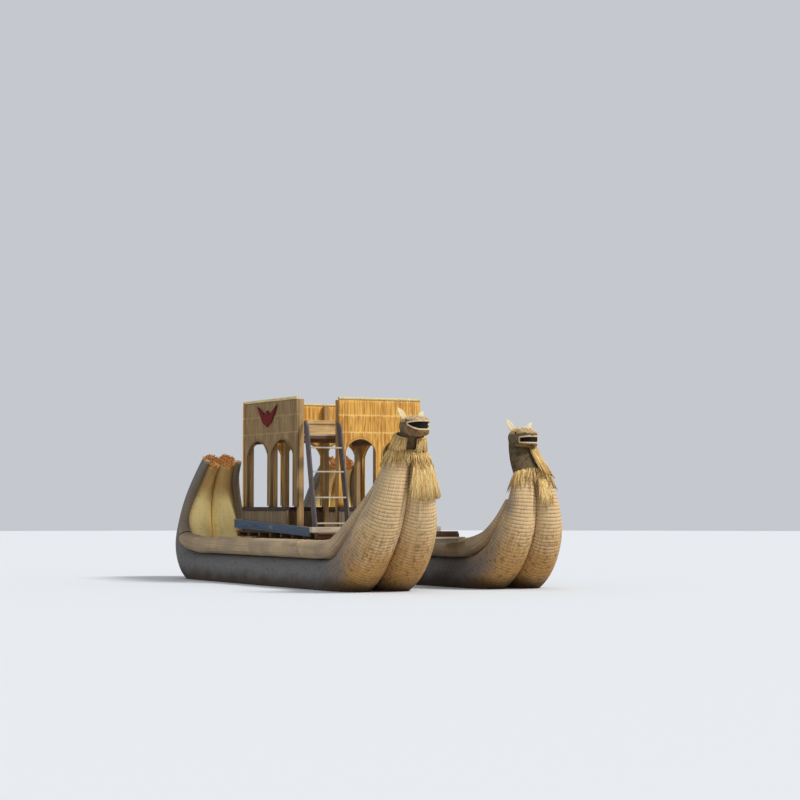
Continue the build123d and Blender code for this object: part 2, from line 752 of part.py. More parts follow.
def cabin_nodes(nodes):
    nodes["posts"] = posts()
    for name in WALLS:
        nodes[f"parapet_{name}"] = parapet(name)
        nodes[f"sill_{name}"] = sill(name)
        nodes[f"reed_wall_{name}"] = reed_wall(name)
    nodes["top_poles"] = top_poles()
    nodes["upper_bearers"] = bearers()
    nodes["upper_joists"] = joists()
    nodes["upper_planks"] = upper_planks()
    nodes["ladder_stringers"] = ladder_stringers()
    nodes["ladder_steps"] = ladder_steps()
    nodes["upper_bench"] = bench()
    nodes["upper_bench_arm"] = bench_arm()
    nodes["wall_figure"] = wall_figure()


def main():
    nodes = {}
    for side in SIDES:
        hull_nodes(nodes, side)
        neck_nodes(nodes, side)
    deck_nodes(nodes)
    cabin_nodes(nodes)
    os.makedirs("parts", exist_ok=True)
    for name, shape in nodes.items():
        export_step(shape, f"parts/{name}.step")


main()
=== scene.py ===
"""Looks of the twin-hulled reed boat: bound reed hulls, straw, thatch and worn timber.

Metres, +X to the bow, +Y to port, +Z up, the water's surface at z = 0.
"""

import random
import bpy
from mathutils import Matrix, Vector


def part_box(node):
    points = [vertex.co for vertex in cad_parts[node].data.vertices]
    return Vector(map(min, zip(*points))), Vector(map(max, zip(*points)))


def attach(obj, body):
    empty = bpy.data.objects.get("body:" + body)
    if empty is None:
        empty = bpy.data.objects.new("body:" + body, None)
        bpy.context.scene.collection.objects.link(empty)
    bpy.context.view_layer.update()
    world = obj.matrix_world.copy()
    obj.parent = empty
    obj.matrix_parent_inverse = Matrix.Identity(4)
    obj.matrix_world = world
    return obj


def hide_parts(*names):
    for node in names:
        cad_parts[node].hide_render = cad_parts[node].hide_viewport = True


bl_info = {
    "name": "Reed Boat",
    "version": (1, 0, 0),
    "blender": (4, 5, 0),
    "location": "View3D > Sidebar > Reed Boat",
    "description": "Dresses the packed reed boat with bound reed, straw, thatch and worn timber",
    "category": "Object",
}

from bisect import bisect_right
from collections import namedtuple
from functools import partial
from math import acos, copysign, cos, hypot, pi, radians, sin, sqrt

import bmesh
import bpy
from mathutils import Matrix, Vector, noise

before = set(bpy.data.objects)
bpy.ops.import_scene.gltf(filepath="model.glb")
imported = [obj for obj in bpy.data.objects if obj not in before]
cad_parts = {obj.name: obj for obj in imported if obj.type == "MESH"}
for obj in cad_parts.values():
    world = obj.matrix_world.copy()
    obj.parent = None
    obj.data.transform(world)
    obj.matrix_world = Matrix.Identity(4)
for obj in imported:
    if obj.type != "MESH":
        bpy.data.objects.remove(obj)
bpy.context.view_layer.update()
PORTWARD = Vector((0, 1, 0))

# Hull lines, as in the solids
SIDES = {"starboard": -1, "port": 1}
HULL_Y = 1.4
PRESS = 0.90                    # a bundle's middle to its flat face, over its radius
BODY_HEIGHT = 0.15
BODY_RADIUS = 0.42
BODY_ROLL_ANGLE = 75            # degrees up from level, round the bundle
BODY_ROLL_RADIUS = 0.176
AFT_BEND = -3.2
BODY_AFT = -2.68
NOTCH = 1.43                    # where the aft and the bow gunwale rolls meet
LEAD = 0.52                     # level stretch before a bow's first bend
ELBOW = 2                       # stern row where the aft gunwale ends

# A station is a cross section: its middle, the bundles' radius, its heading in degrees, and
# where the rolls lie and their radius. A bend is a length walked, its turn in degrees, and
# the radii and roll angle at its far end. A bow starts bending at an x.
Station = namedtuple("Station", "x z radius heading roll_angle roll_radius")
Bend = namedtuple("Bend", "run turn radius roll_radius roll_angle", defaults=(BODY_ROLL_ANGLE,))
STERN = [
    Bend(0.52, 8, 0.422, 0.178, 68), Bend(0.52, 28, 0.432, 0.178, 58),
    Bend(0.52, 32, 0.405, 0.140, 50), Bend(0.52, 25, 0.335, 0.092, 37),
    Bend(0.52, 19, 0.270, 0.080, 38), Bend(0.52, 17, 0.215, 0.060, 40),
    Bend(0.40, 14, 0.192, 0.048, 40),
]
EDGING_TIP = 0.07               # edging past the last cross section
STERN_CUT = 0.13                # cut ends short of the last cross section
CUT_STALKS = 380                # standing out of each bundle's cut end
Bow = namedtuple("Bow", "start bends")
BOWS = {
    "starboard": Bow(1.78, [
        Bend(0.55, 1, 0.420, 0.176), Bend(0.55, 11, 0.432, 0.172), Bend(0.55, 20, 0.445, 0.162),
        Bend(0.55, 15, 0.432, 0.142), Bend(0.55, 10, 0.392, 0.110), Bend(0.55, 15, 0.312, 0.078),
        Bend(0.55, 12, 0.222, 0.050), Bend(0.22, 5, 0.182, 0.038)]),
    "port": Bow(1.60, [
        Bend(0.55, 1, 0.420, 0.176), Bend(0.55, 5, 0.420, 0.172), Bend(0.55, 17, 0.413, 0.162),
        Bend(0.55, 23, 0.380, 0.138), Bend(0.55, 21, 0.338, 0.104), Bend(0.55, 22, 0.262, 0.070),
        Bend(0.43, 22, 0.196, 0.044)]),
}
AROUND = 44                     # columns round a bundle
ROLL_AROUND = 22                # columns round a roll
NECK_ROUND = 0.14               # length over which a bundle rounds off under the straw
RING = (0.0, 0.15, 0.5, 0.85)   # rows within one turn of the rope

# Heads: middle of the skull, mouth's corner forward of it and over it, half opening there,
# how far the lower jaw drops for each unit forward, each ear's length share, fibres on the
# crown
Head = namedtuple("Head", "x z corner mouth gap drop inner_ear outer_ear shag")
HEADS = {
    "starboard": Head(4.77, 2.90, 0.12, 0.035, 0.014, 0.42, 0.7, 1.0, 70),
    "port": Head(3.74, 2.77, 0.19, -0.045, 0.044, 0.06, 1.1, 0.85, 170),
}
SKULL_BACK, SKULL_TIP = -0.35, 0.349
JAW_BACK, JAW_TIP = -0.04, 0.343
LIPS_TIP = 0.334
LIP_ROPE = 0.0145               # radius
EYE = 0.016                     # radius
SQUARENESS = 0.82               # power that squares a head's round sections
HEAD_MATERIALS = "hide crown mouth ear jaw rope"
CROWN, MOUTH, EAR, JAW, ROPE = range(1, 6)

# Matting under the skulls: half sizes at the foot and inside the skull, how far aft of the
# skull's middle it ends, forward lean of that end for each unit up, bulge to aft
Throat = namedtuple("Throat", "foot_wide foot_deep top_wide top_deep back lean sag")
THROATS = {
    "starboard": Throat(0.250, 0.165, 0.185, 0.160, 0.098, 0.5, 0.0),
    "port": Throat(0.330, 0.240, 0.205, 0.205, 0.125, -0.2, 0.07),
}
# Straw on the throats: reach up from the foot, thickness at its top and at the foot, the
# edges of the bare part in front across from the middle, the end of the straw behind in
# degrees from port, strands
Ruff = namedtuple("Ruff", "reach top foot low high behind strands")
RUFFS = {
    "starboard": Ruff(0.300, 0.080, 0.105, -0.19, 0.04, None, 620),
    "port": Ruff(0.620, 0.045, 0.075, None, 0.04, 84, 330),
}
# Straw round the necks, by distance down from the bundles' end; the span is how far the
# cape reaches across
Skirt = namedtuple("Skirt", "drop length top_width top_depth hem_width hem_depth strands span")
SKIRTS = {
    ("collar", "starboard"): Skirt(-0.03, 0.15, 0.360, 0.225, 0.440, 0.275, 620, None),
    ("collar", "port"): Skirt(-0.08, 0.19, 0.335, 0.215, 0.430, 0.255, 340, None),
    ("cape", "starboard"): Skirt(0.122, 0.62, 0.430, 0.265, 0.690, 0.410, 900, (-0.04, 0.69)),
    ("cape", "port"): Skirt(0.112, 0.39, 0.450, 0.275, 0.610, 0.370, 230, (-0.03, 0.20)),
}

# Cabin walls: which way each runs, outer face, ends, middles of the posts between arches
Wall = namedtuple("Wall", "runs face low high middles")
WALLS = {
    "starboard": Wall("x", -1.36, -2.88, -0.17, [-1.55]),
    "port": Wall("x", 1.36, -2.88, -0.17, [-1.55]),
    "rear": Wall("y", -2.88, -1.36, 1.36, [-0.43, 0.48]),
    "front": Wall("y", -0.17, -0.45, 1.36, [0.43]),
}
CABIN_MIDDLE = -1.5
THATCH = 0.08
WALL_FOOT = 1.5006
WALL_TOP = 3.61
ARCH_SPRING = 2.53
ARCH_TOP = 2.85
END_FOOT = 0.13
MIDDLE_FOOT = 0.11
PARAPET_THICK = 0.06
SEAMS = (2.97, 3.31)            # where the thatch's courses meet
LAP_REACH = 0.34                # how far a course laps over the one below
CLUMP_STALKS = 3                # columns in a clump: a groove and two stalks
BEAM_WIDE = 0.10
ARCH_ROPE = 0.012               # radius, and how far in its middle lies
ARCH_ROPE_IN = 0.01             # from an arch's leg to the rope's middle
LASHING = 0.009                 # radius of the rope round beams and rolls
LASHING_WIDE = 0.186            # half the loop across, and its reach down and up
LASHING_DOWN, LASHING_UP = 0.184, 0.274
LASHING_LEAN = 0.035

CAMERA_PLACE = Vector((35.51, -17.69, 1.5))
CAMERA_AIM = Vector((-0.887, 0.462, 0.0))
CAMERA_PITCH = 3.04             # degrees up
CAMERA_LENS = 90.675
LAMP_WAY = Vector((13, 11, 19))
LAMP_SPREAD = 14                # degrees, for soft shadows
SKY = (0.90, 0.94, 1.0, 1)
FLOOR_RADIUS = 90


def rgb(red, green, blue):
    """Linear colour from display values of 0 to 255."""
    out = []
    for value in (red, green, blue):
        c = value / 255
        out.append(c / 12.92 if c <= 0.04045 else ((c + 0.055) / 1.055) ** 2.4)
    return tuple(out)


def swatch(name, description, default):
    return bpy.props.FloatVectorProperty(name=name, description=description, subtype="COLOR",
                                         size=3, min=0, max=1, default=default)


def number(name, description, default, unit="LENGTH"):
    return bpy.props.FloatProperty(name=name, description=description, default=default, min=0,
                                   unit=unit)


class ReedSettings(bpy.types.PropertyGroup):
    """Bound reed of the hulls."""
    ring_pitch: number("Ring pitch", "Distance between turns of the binding rope", 0.056)
    bow_depth: number("Bow ring depth", "How deep the rope bites at the bows", 0.012)
    body_depth: number("Body ring depth", "How deep the rope bites amidships", 0.004)
    roll_pitch: number("Roll pitch", "Distance between turns on the gunwale rolls", 0.085)
    stalk: swatch("Stalk", "Dry stalks at the bows", rgb(222, 190, 142))
    ochre: swatch("Ochre", "Stalks lower down", rgb(188, 142, 82))
    grey: swatch("Weathered", "Weathered stalks amidships", rgb(111, 112, 113))
    golden: swatch("Golden", "Stalks inside the sterns", rgb(255, 230, 158))
    # Painted shadow: a browner colour at the top of the sterns' inner faces, standing in for the shade
    # under their curled tips.
    stern_top_shade: swatch("Shaded top", "Stalks near the sterns' cut ends", rgb(176, 116, 50))
    stain: swatch("Stain", "Wet reed at the waterline", rgb(66, 50, 32))
    crease: swatch("Crease", "Under the binding rope", rgb(108, 80, 48))
    cut: swatch("Cut ends", "Cut stalk ends at the sterns", rgb(204, 136, 66))


class StrawSettings(bpy.types.PropertyGroup):
    """Loose straw round the necks."""
    thickness: number("Strand thickness", "Radius of a straw strand", 0.0050)
    pale: swatch("Pale", "Sun-bleached straw", rgb(238, 212, 150))
    deep: swatch("Deep", "Straw between the strands", rgb(176, 128, 62))


class ThatchSettings(bpy.types.PropertyGroup):
    """Reed walls of the cabin."""
    clump: number("Clump width", "Width of a clump of stalks", 0.036)
    relief: number("Relief", "How far clumps stand out", 0.007)
    light: swatch("Light", "Outer stalks", rgb(244, 192, 98))
    dark: swatch("Dark", "Between the stalks", rgb(166, 104, 42))
    # Painted shade: the darker colour of the starboard wall, its arch rope and the parapets, standing
    # in for their shade.
    grey: swatch("Weathered", "Weathered stalks on the starboard wall", rgb(142, 122, 94))
    seam: swatch("Seam", "Stalk ends at each seam", rgb(246, 214, 140))


class TimberSettings(bpy.types.PropertyGroup):
    """Timber, boards and cloth, with painted shade on the stringers and a painted reflection and
    highlight on the side boards.
    """
    pale: swatch("Pale timber", "Bare boards and ladder's steps", rgb(206, 190, 166))
    brown: swatch("Brown timber", "Beams and planks", rgb(122, 86, 56))
    tan: swatch("Tan timber", "Posts of the cabin", rgb(188, 150, 100))
    cream: swatch("Cream timber", "Bench on the upper deck", rgb(224, 188, 132))
    # Painted shade: the stringers' dark colour stands in for the shade on their sides.
    slate: swatch("Slate timber", "Ladder's stringers", rgb(104, 94, 94))
    dark: swatch("Dark timber", "Rails on the parapets", rgb(70, 54, 46))
    # Painted reflection: this blue-grey stands in for the sky reflected on the side boards' shaded
    # faces.
    paint: swatch("Paint", "Paint on the side boards", rgb(88, 106, 128))
    cloth: swatch("Figure", "Dyed figure on the wall", rgb(118, 26, 26))
    mat: swatch("Mats", "Rolled mats on the fore boards", rgb(98, 70, 48))


class StageSettings(bpy.types.PropertyGroup):
    """Floor and light."""
    floor: swatch("Floor", "Floor at the waterline", (0.68, 0.69, 0.70))
    key: number("Key", "Strength of the sun-side lamp", 2.7, "NONE")
    fill: number("Fill", "Strength of the sky's light", 0.62, "NONE")


# Numbers

def blend(a, b, share):
    return a + (b - a) * share


def clamp(value, low, high):
    return min(max(value, low), high)


def ease(low, high, value):
    """0 at low to 1 at high, smoothly."""
    t = clamp((value - low) / (high - low), 0.0, 1.0)
    return t * t * (3 - 2 * t)


def dome(share):
    """Height of a quarter circle, by the share of its run."""
    return sqrt(max(1 - (1 - min(share, 1.0)) ** 2, 0.0))


def part_turn(i, count):
    return 2 * pi * i / count


def wobble(*spot):
    """Smooth noise of -1 to 1 at up to three numbers."""
    return noise.noise(Vector((list(spot) + [0, 0, 0])[:3]))


def steady_number(name):
    """A small number that is the same for a name in each run."""
    return sum((k + 1) * ord(c) for k, c in enumerate(name))


class Curve:
    """Smooth curves through rows of values, each row at its own mark."""

    def __init__(self, marks, rows):
        self.marks = marks
        self.rows = rows

    def slope(self, i, field):
        low = max(i - 1, 0)
        high = min(i + 1, len(self.rows) - 1)
        return ((self.rows[high][field] - self.rows[low][field])
                / (self.marks[high] - self.marks[low]))

    def values(self, mark):
        mark = clamp(mark, self.marks[0], self.marks[-1])
        i = min(bisect_right(self.marks, mark) - 1, len(self.rows) - 2)
        span = self.marks[i + 1] - self.marks[i]
        t = (mark - self.marks[i]) / span
        out = []
        for field, (a, b) in enumerate(zip(self.rows[i], self.rows[i + 1])):
            ma, mb = self.slope(i, field) * span, self.slope(i + 1, field) * span
            out.append(a + t * (ma + t * (3 * (b - a) - 2 * ma - mb
                                          + t * (2 * (a - b) + ma + mb))))
        return out


def curve_through(*pairs):
    """Smooth function through (place, value) pairs."""
    curve = Curve([x for x, _ in pairs], [(value,) for _, value in pairs])
    return lambda x: curve.values(x)[0]


# Skull and jaw by distance forward of the skull's middle
HALF_WIDTH = curve_through((-0.35, 0.05), (-0.31, 0.125), (-0.22, 0.180), (-0.06, 0.210),
                           (0.08, 0.205), (0.16, 0.194), (0.22, 0.177), (0.27, 0.152),
                           (0.31, 0.118), (0.338, 0.068), (0.349, 0.0))
SKULL_TOP = curve_through((-0.35, 0.03), (-0.30, 0.095), (-0.20, 0.152), (-0.06, 0.172),
                          (0.08, 0.162), (0.20, 0.142), (0.29, 0.126), (0.33, 0.112),
                          (0.349, 0.092))
SKULL_BOTTOM = curve_through((-0.35, -0.03), (-0.30, -0.095), (-0.20, -0.150),
                             (-0.06, -0.172), (0.10, -0.180))
JAW_WIDTH = curve_through((-0.04, 0.17), (0.05, 0.200), (0.16, 0.190), (0.22, 0.173),
                          (0.27, 0.147), (0.31, 0.112), (0.335, 0.060), (0.343, 0.0))
JAW_BOTTOM = curve_through((-0.04, -0.168), (0.08, -0.184), (0.18, -0.188), (0.26, -0.180),
                           (0.31, -0.160), (0.343, -0.118))


# Hull lines

def straight(x):
    """Cross section of the level body."""
    return Station(x, BODY_HEIGHT, BODY_RADIUS, 0, BODY_ROLL_ANGLE, BODY_ROLL_RADIUS)


def walk(x, toward, bends):
    """Cross sections at the far end of each bend, walking out from the body."""
    z = BODY_HEIGHT
    turned = 0
    rows = []
    for b in bends:
        middle = radians(turned + b.turn / 2)
        x += toward * b.run * cos(middle)
        z += b.run * sin(middle)
        turned += b.turn
        rows.append(Station(x, z, b.radius, toward * turned, b.roll_angle, b.roll_radius))
    return rows


STERN_ROWS = walk(AFT_BEND, -1, STERN)
BOW_ROWS = {side: walk(bow.start, 1, bow.bends) for side, bow in BOWS.items()}


class Course(Curve):
    """Line through a hull's cross sections, by distance from its first one."""

    def __init__(self, rows):
        marks = [0.0]
        for a, b in zip(rows, rows[1:]):
            marks.append(marks[-1] + hypot(b.x - a.x, b.z - a.z))
        super().__init__(marks, rows)
        self.length = marks[-1]

    def at(self, s):
        return Station(*self.values(s))


def whole_hull(side):
    """Every cross section of a hull, from the stern's cut end to the neck."""
    start = BOWS[side].start
    body = [straight(x) for x in (AFT_BEND, BODY_AFT, -1.3, 0.0, start - LEAD, start)]
    return STERN_ROWS[::-1] + body + BOW_ROWS[side]


def axes(side, s):
    """Middle of a cross section, its along and its deck-side directions."""
    a = radians(s.heading)
    return (Vector((s.x, SIDES[side] * HULL_Y, s.z)), Vector((cos(a), 0, sin(a))),
            Vector((-sin(a), 0, cos(a))))


def beside(centre, deck, sideways, deckward):
    """Point beside a middle, by distances to port and toward the deck."""
    return centre + PORTWARD * sideways + deck * deckward


# Meshes

def faces_of(verts):
    return {f for v in verts for f in v.link_faces}


def grid(bm, columns, rows, place, uv=None, material=0):
    """Lay a grid of faces out through place(column, row); returns its faces."""
    layer = bm.loops.layers.uv.verify()
    made = bmesh.ops.create_grid(bm, x_segments=columns, y_segments=rows, size=0.5)["verts"]
    spots = {}
    for v in made:
        i = round((v.co.x + 0.5) * columns)
        j = round((v.co.y + 0.5) * rows)
        spots[v] = uv(i, j) if uv else (i / columns, j / rows)
        v.co = place(i, j)
    faces = faces_of(made)
    for f in faces:
        f.material_index = material
        f.smooth = True
        for loop in f.loops:
            loop[layer].uv = spots[loop.vert]
    return faces


def close_up(bm):
    """Merge seams, close the ends and turn the faces out."""
    bmesh.ops.remove_doubles(bm, verts=bm.verts, dist=1e-5)
    edges = [e for e in bm.edges if e.is_boundary]
    if edges:
        bmesh.ops.holes_fill(bm, edges=edges, sides=0)
    bmesh.ops.recalc_face_normals(bm, faces=bm.faces)


def tube(bm, points, radius, sides, closed=False, material=0):
    """Round rope or stalk along points; returns its faces."""
    count = len(points)
    side = Vector((0.13, 0.17, 1)).normalized()
    frames = []
    for j in range(count):
        before = points[(j - 1) % count] if closed else points[max(j - 1, 0)]
        after = points[(j + 1) % count] if closed else points[min(j + 1, count - 1)]
        along = (after - before).normalized()
        side = (side - along * side.dot(along)).normalized()
        frames.append((points[j], side, along.cross(side)))

    def place(i, j):
        centre, a, b = frames[j % count]
        turn = part_turn(i, sides)
        return centre + (a * cos(turn) + b * sin(turn)) * radius

    rows = count if closed else count - 1
    return grid(bm, sides, rows, place, lambda i, j: (i / sides, j), material)


MATERIALS = {}


def add_object(name, data):
    obj = bpy.data.objects.new(name, data)
    bpy.context.scene.collection.objects.link(obj)
    return obj


def mesh_object(bm, name, materials):
    mesh = bpy.data.meshes.new(name)
    bm.to_mesh(mesh)
    bm.free()
    for material in materials.split():
        mesh.materials.append(MATERIALS[material])
    return add_object(name, mesh)


def piece(bm, name, materials, slot, *nodes):
    """Close a bmesh up and turn it into a finished piece that rides on the boat."""
    close_up(bm)
    obj = mesh_object(bm, name, materials)
    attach(obj, "root")
    if nodes:
        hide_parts(*nodes)


def dress(nodes, material):
    """Give CAD nodes a material."""
    for name in nodes.split():
        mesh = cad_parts[name].data
        mesh.materials.clear()
        mesh.materials.append(MATERIALS[material])


# Materials

class Value:
    """A shader socket; arithmetic on it adds Math nodes."""

    def __init__(self, paint, socket):
        self.paint = paint
        self.socket = socket

    def __add__(self, other):
        return self.paint.math("ADD", self, other)

    __radd__ = __add__

    def __sub__(self, other):
        return self.paint.math("SUBTRACT", self, other)

    def __rsub__(self, other):
        return self.paint.math("SUBTRACT", other, self)

    def __mul__(self, other):
        return self.paint.math("MULTIPLY", self, other)

    __rmul__ = __mul__

    def held(self):
        """The value held between 0 and 1."""
        return self.paint.math("ADD", self, 0.0, clamp=True)

    def absolute(self):
        return self.paint.math("ABSOLUTE", self)

    def ease(self, low, high):
        """0 at low to 1 at high, smoothly."""
        return self.paint.add("ShaderNodeMapRange", {"interpolation_type": "SMOOTHSTEP"},
                              {"Value": self, "From Min": low, "From Max": high})


class Paint:
    """One procedural material, laid over its base coat by coat."""

    def __init__(self, name, roughness=0.85, specular=0.25):
        material = MATERIALS[name] = bpy.data.materials.new(name)
        material.use_nodes = True
        self.tree = material.node_tree
        self.tree.nodes.clear()
        self.shader = self.tree.nodes.new("ShaderNodeBsdfPrincipled")
        out = self.tree.nodes.new("ShaderNodeOutputMaterial")
        self.tree.links.new(self.shader.outputs[0], out.inputs[0])
        self.shader.inputs["Roughness"].default_value = roughness
        self.shader.inputs["Specular IOR Level"].default_value = specular
        spots = self.add("ShaderNodeTexCoord").socket.node.outputs
        self.place, self.map, self.facing = (Value(self, spots[n]) for n in ("Object", "UV", "Normal"))
        self.base = None

    def feed(self, socket, value):
        if isinstance(value, Value):
            self.tree.links.new(value.socket, socket)
        elif socket.type == "RGBA":
            socket.default_value = (*value, 1)
        else:
            socket.default_value = value

    def add(self, kind, settings=None, inputs=None, out=0):
        node = self.tree.nodes.new(kind)
        for key, value in (settings or {}).items():
            setattr(node, key, value)
        for key, value in (inputs or {}).items():
            self.feed(node.inputs[key], value)
        return Value(self, node.outputs[out])

    def math(self, operation, *values, clamp=False):
        return self.add("ShaderNodeMath", {"operation": operation, "use_clamp": clamp},
                        dict(enumerate(values)))

    def split(self, vector):
        node = self.add("ShaderNodeSeparateXYZ", inputs={0: vector}).socket.node
        return [Value(self, s) for s in node.outputs]

    def noise(self, vector, scale=1.0, detail=3.0, roughness=0.55, stretch=None):
        """Noise of about 0.5, finer by a scale or by a stretch for each axis."""
        if stretch:
            vector = self.add("ShaderNodeVectorMath", {"operation": "MULTIPLY"},
                              {0: vector, 1: stretch})
        return self.add("ShaderNodeTexNoise", inputs={
            "Vector": vector, "Scale": scale, "Detail": detail, "Roughness": roughness})

    def mix(self, factor, a, b):
        return self.add("ShaderNodeMix", {"data_type": "RGBA", "blend_type": "MIX"},
                        {0: factor, 6: a, 7: b}, out=2)

    def coat(self, factor, colour):
        """Lay a colour over the base, where the factor is 1."""
        self.base = self.mix(factor, self.base, colour)

    def crease(self, ring, width):
        """1 at the rope of each ring, easing to 0 over a width in rings."""
        middle = 0.5 - (self.math("FRACT", ring) - 0.5).absolute()
        return 1 - middle.ease(0.0, width)

    def finish(self, height, strength, distance):
        """Set the base colour and a bump."""
        self.feed(self.shader.inputs["Base Color"], self.base)
        self.feed(self.shader.inputs["Normal"], self.add("ShaderNodeBump", inputs={
            "Height": height, "Strength": strength, "Distance": distance}))


def shade_of(colour, share):
    return tuple(c * share for c in colour)


def bound_reed(hue):
    """Reed stalks bound in rings; the map gives turns round and rings along."""
    p = Paint("bound_reed", roughness=0.8)
    around, ring, _ = p.split(p.map)
    x, _, z = p.split(p.place)
    stalks = p.noise(p.map, detail=2, stretch=(210, 0.06, 1))
    patches = p.noise(p.place, scale=2.2, detail=4)
    specks = p.noise(p.place, scale=14)
    mottle = patches - 0.5
    inside = (x * -1 + mottle * 0.3).ease(2.9, 3.3) * around.ease(0.54, 0.60) * z.ease(0.7, 0.9)
    # The outward faces take more of the weathered grey: partly dirt, partly painted shade on the side
    # turned from the light.
    flank = 1 - (around - 0.5).absolute().ease(0.05, 0.2)
    body = (x * -1 + flank * 0.8 + z * 0.3 + mottle * 2.0).ease(-3.6, -1.9) * (1 - inside)
    # Painted shadow: toward the top of the inner faces the golden turns browner, where the curled tips
    # shade them.
    gold = p.mix((z + mottle * 0.5).ease(1.55, 1.95) * 0.6, hue.golden, hue.stern_top_shade)
    between = p.mix(body, shade_of(hue.crease, 1.25), shade_of(hue.grey, 0.7))
    low = (1 - z.ease(0.6, 1.9)) * (1 - inside)
    bound = (0.75 - 0.5 * body - 0.5 * inside) * (patches.ease(0.3, 0.62) * 0.65 + 0.35)
    wet = 1 - (z + mottle * 0.34).ease(0.03, 0.34)
    p.base = p.mix((z + patches * 0.9).ease(0.75, 1.75), hue.ochre, hue.stalk)
    p.coat(body, hue.grey)
    p.coat(inside, gold)
    p.base = p.mix((stalks.ease(0.3, 0.6) * 0.55 + 0.45 + inside * 0.3).held(), between, p.base)
    p.coat(((specks - 0.56 + low * 0.05) * 5).held() * (low * 0.6 + 0.2), hue.crease)
    p.coat(p.crease(ring, 0.17) * bound * (1 - z.ease(1.4, 2.3) * 0.35), hue.crease)
    p.coat(wet * 0.85, hue.stain)
    p.finish(stalks * 0.6 + specks * 0.4, 0.55, 0.006)


def roll_reed(hue):
    """The slimmer reed rolls along the gunwales."""
    p = Paint("roll_reed", roughness=0.8)
    _, ring, _ = p.split(p.map)
    x, _, z = p.split(p.place)
    stalks = p.noise(p.map, detail=2, stretch=(90, 0.06, 1))
    patches = p.noise(p.place, scale=2.6, detail=4)
    tip = STERN_ROWS[-1].z
    # Painted highlight: the stern rolls' tips are paler, where the light catches them.
    tip_highlight = z.ease(tip - 0.12, tip) * (1 - x.ease(-3.6, -3.4))
    p.base = p.mix(patches.ease(0.3, 0.7) * 0.3 + 0.4, hue.grey, hue.stalk)
    p.coat(z.ease(1.2, 2.1) * x.ease(0, 1) * 0.5, hue.stalk)
    # Painted shade: aft of x = -3.5 and above the waterline the rolls turn dark grey, standing in for
    # the shade on the sterns' edges.
    p.coat((1 - x.ease(-3.5, -3.1)) * z.ease(0.8, 1.1) * 0.7, shade_of(hue.grey, 0.6))
    p.coat(tip_highlight * 0.85, shade_of(hue.stalk, 1.15))
    p.base = p.mix(stalks.ease(0.3, 0.6) * 0.6 + 0.4, shade_of(hue.crease, 1.2), p.base)
    p.coat(p.crease(ring, 0.14) * 0.4, hue.crease)
    p.finish(stalks, 0.5, 0.005)


def cut_ends(hue):
    """Cut stalk ends."""
    p = Paint("cut_ends", roughness=0.95)
    grains = p.noise(p.place, scale=60, detail=2)
    patches = p.noise(p.place, scale=9, detail=2)
    p.base = p.mix(grains.ease(0.35, 0.65), shade_of(hue.cut, 0.5), hue.cut)
    p.coat(patches.ease(0.5, 0.75) * 0.5, hue.golden)
    p.finish(grains, 0.6, 0.004)


def straw(hue):
    """Loose straw, varied from strand to strand by its map."""
    p = Paint("straw")
    vary = p.noise(p.map, scale=3, detail=1, stretch=(7.3, 0.05, 1))
    patches = p.noise(p.place, scale=24, detail=2)
    p.base = p.mix(vary.ease(0.32, 0.66), hue.deep, hue.pale)
    p.coat(patches.ease(0.5, 0.8) * 0.35, shade_of(hue.deep, 0.7))
    p.finish(patches, 0.3, 0.002)


def thatch(name, hue, shade_share):
    """Upright stalks in stitched courses; a share of painted shade swaps the light stalks for darker
    grey and dulls the pale seams.
    """
    p = Paint(name)
    _, _, z = p.split(p.place)
    stalks = p.noise(p.place, detail=2, stretch=(95, 95, 1.6))
    clumps = p.noise(p.place, detail=2, stretch=(13, 13, 0.7))
    patches = p.noise(p.place, scale=3.0)
    # Painted shade: the shade share darkens the light and dark stalks toward grey.
    light = p.mix(shade_share, hue.light, hue.grey)
    dark = p.mix(shade_share, hue.dark, shade_of(hue.grey, 0.5))
    p.base = p.mix(stalks.ease(0.3, 0.66), dark, light)
    p.coat(clumps.ease(0.47, 0.64) * 0.55, dark)
    p.coat(patches.ease(0.5, 0.8) * 0.3, shade_of(hue.dark, 0.7))
    for seam in SEAMS:
        ragged = (z - seam + (stalks - 0.5) * 0.07).absolute()
        p.coat((1 - ragged.ease(0.0, 0.018)) * (0.7 - 0.6 * shade_share), hue.seam)
    p.finish(stalks * 0.7 + clumps * 0.3, 0.6, 0.006)


def timber(name, colour, along, wear=0.4):
    """Weathered wood with its grain along one axis."""
    p = Paint(name, roughness=0.75, specular=0.3)
    stretch = tuple(1.7 if axis == along else 46.0 for axis in "xyz")
    grain = p.noise(p.place, detail=4, roughness=0.65, stretch=stretch)
    patches = p.noise(p.place, scale=4.5, detail=4)
    p.base = p.mix(grain.ease(0.3, 0.7), shade_of(colour, 0.55), colour)
    p.coat(patches.ease(0.45, 0.75) * wear, shade_of(colour, 1.35))
    p.coat((1 - patches.ease(0.25, 0.42)) * wear, shade_of(colour, 0.45))
    p.finish(grain, 0.35, 0.003)


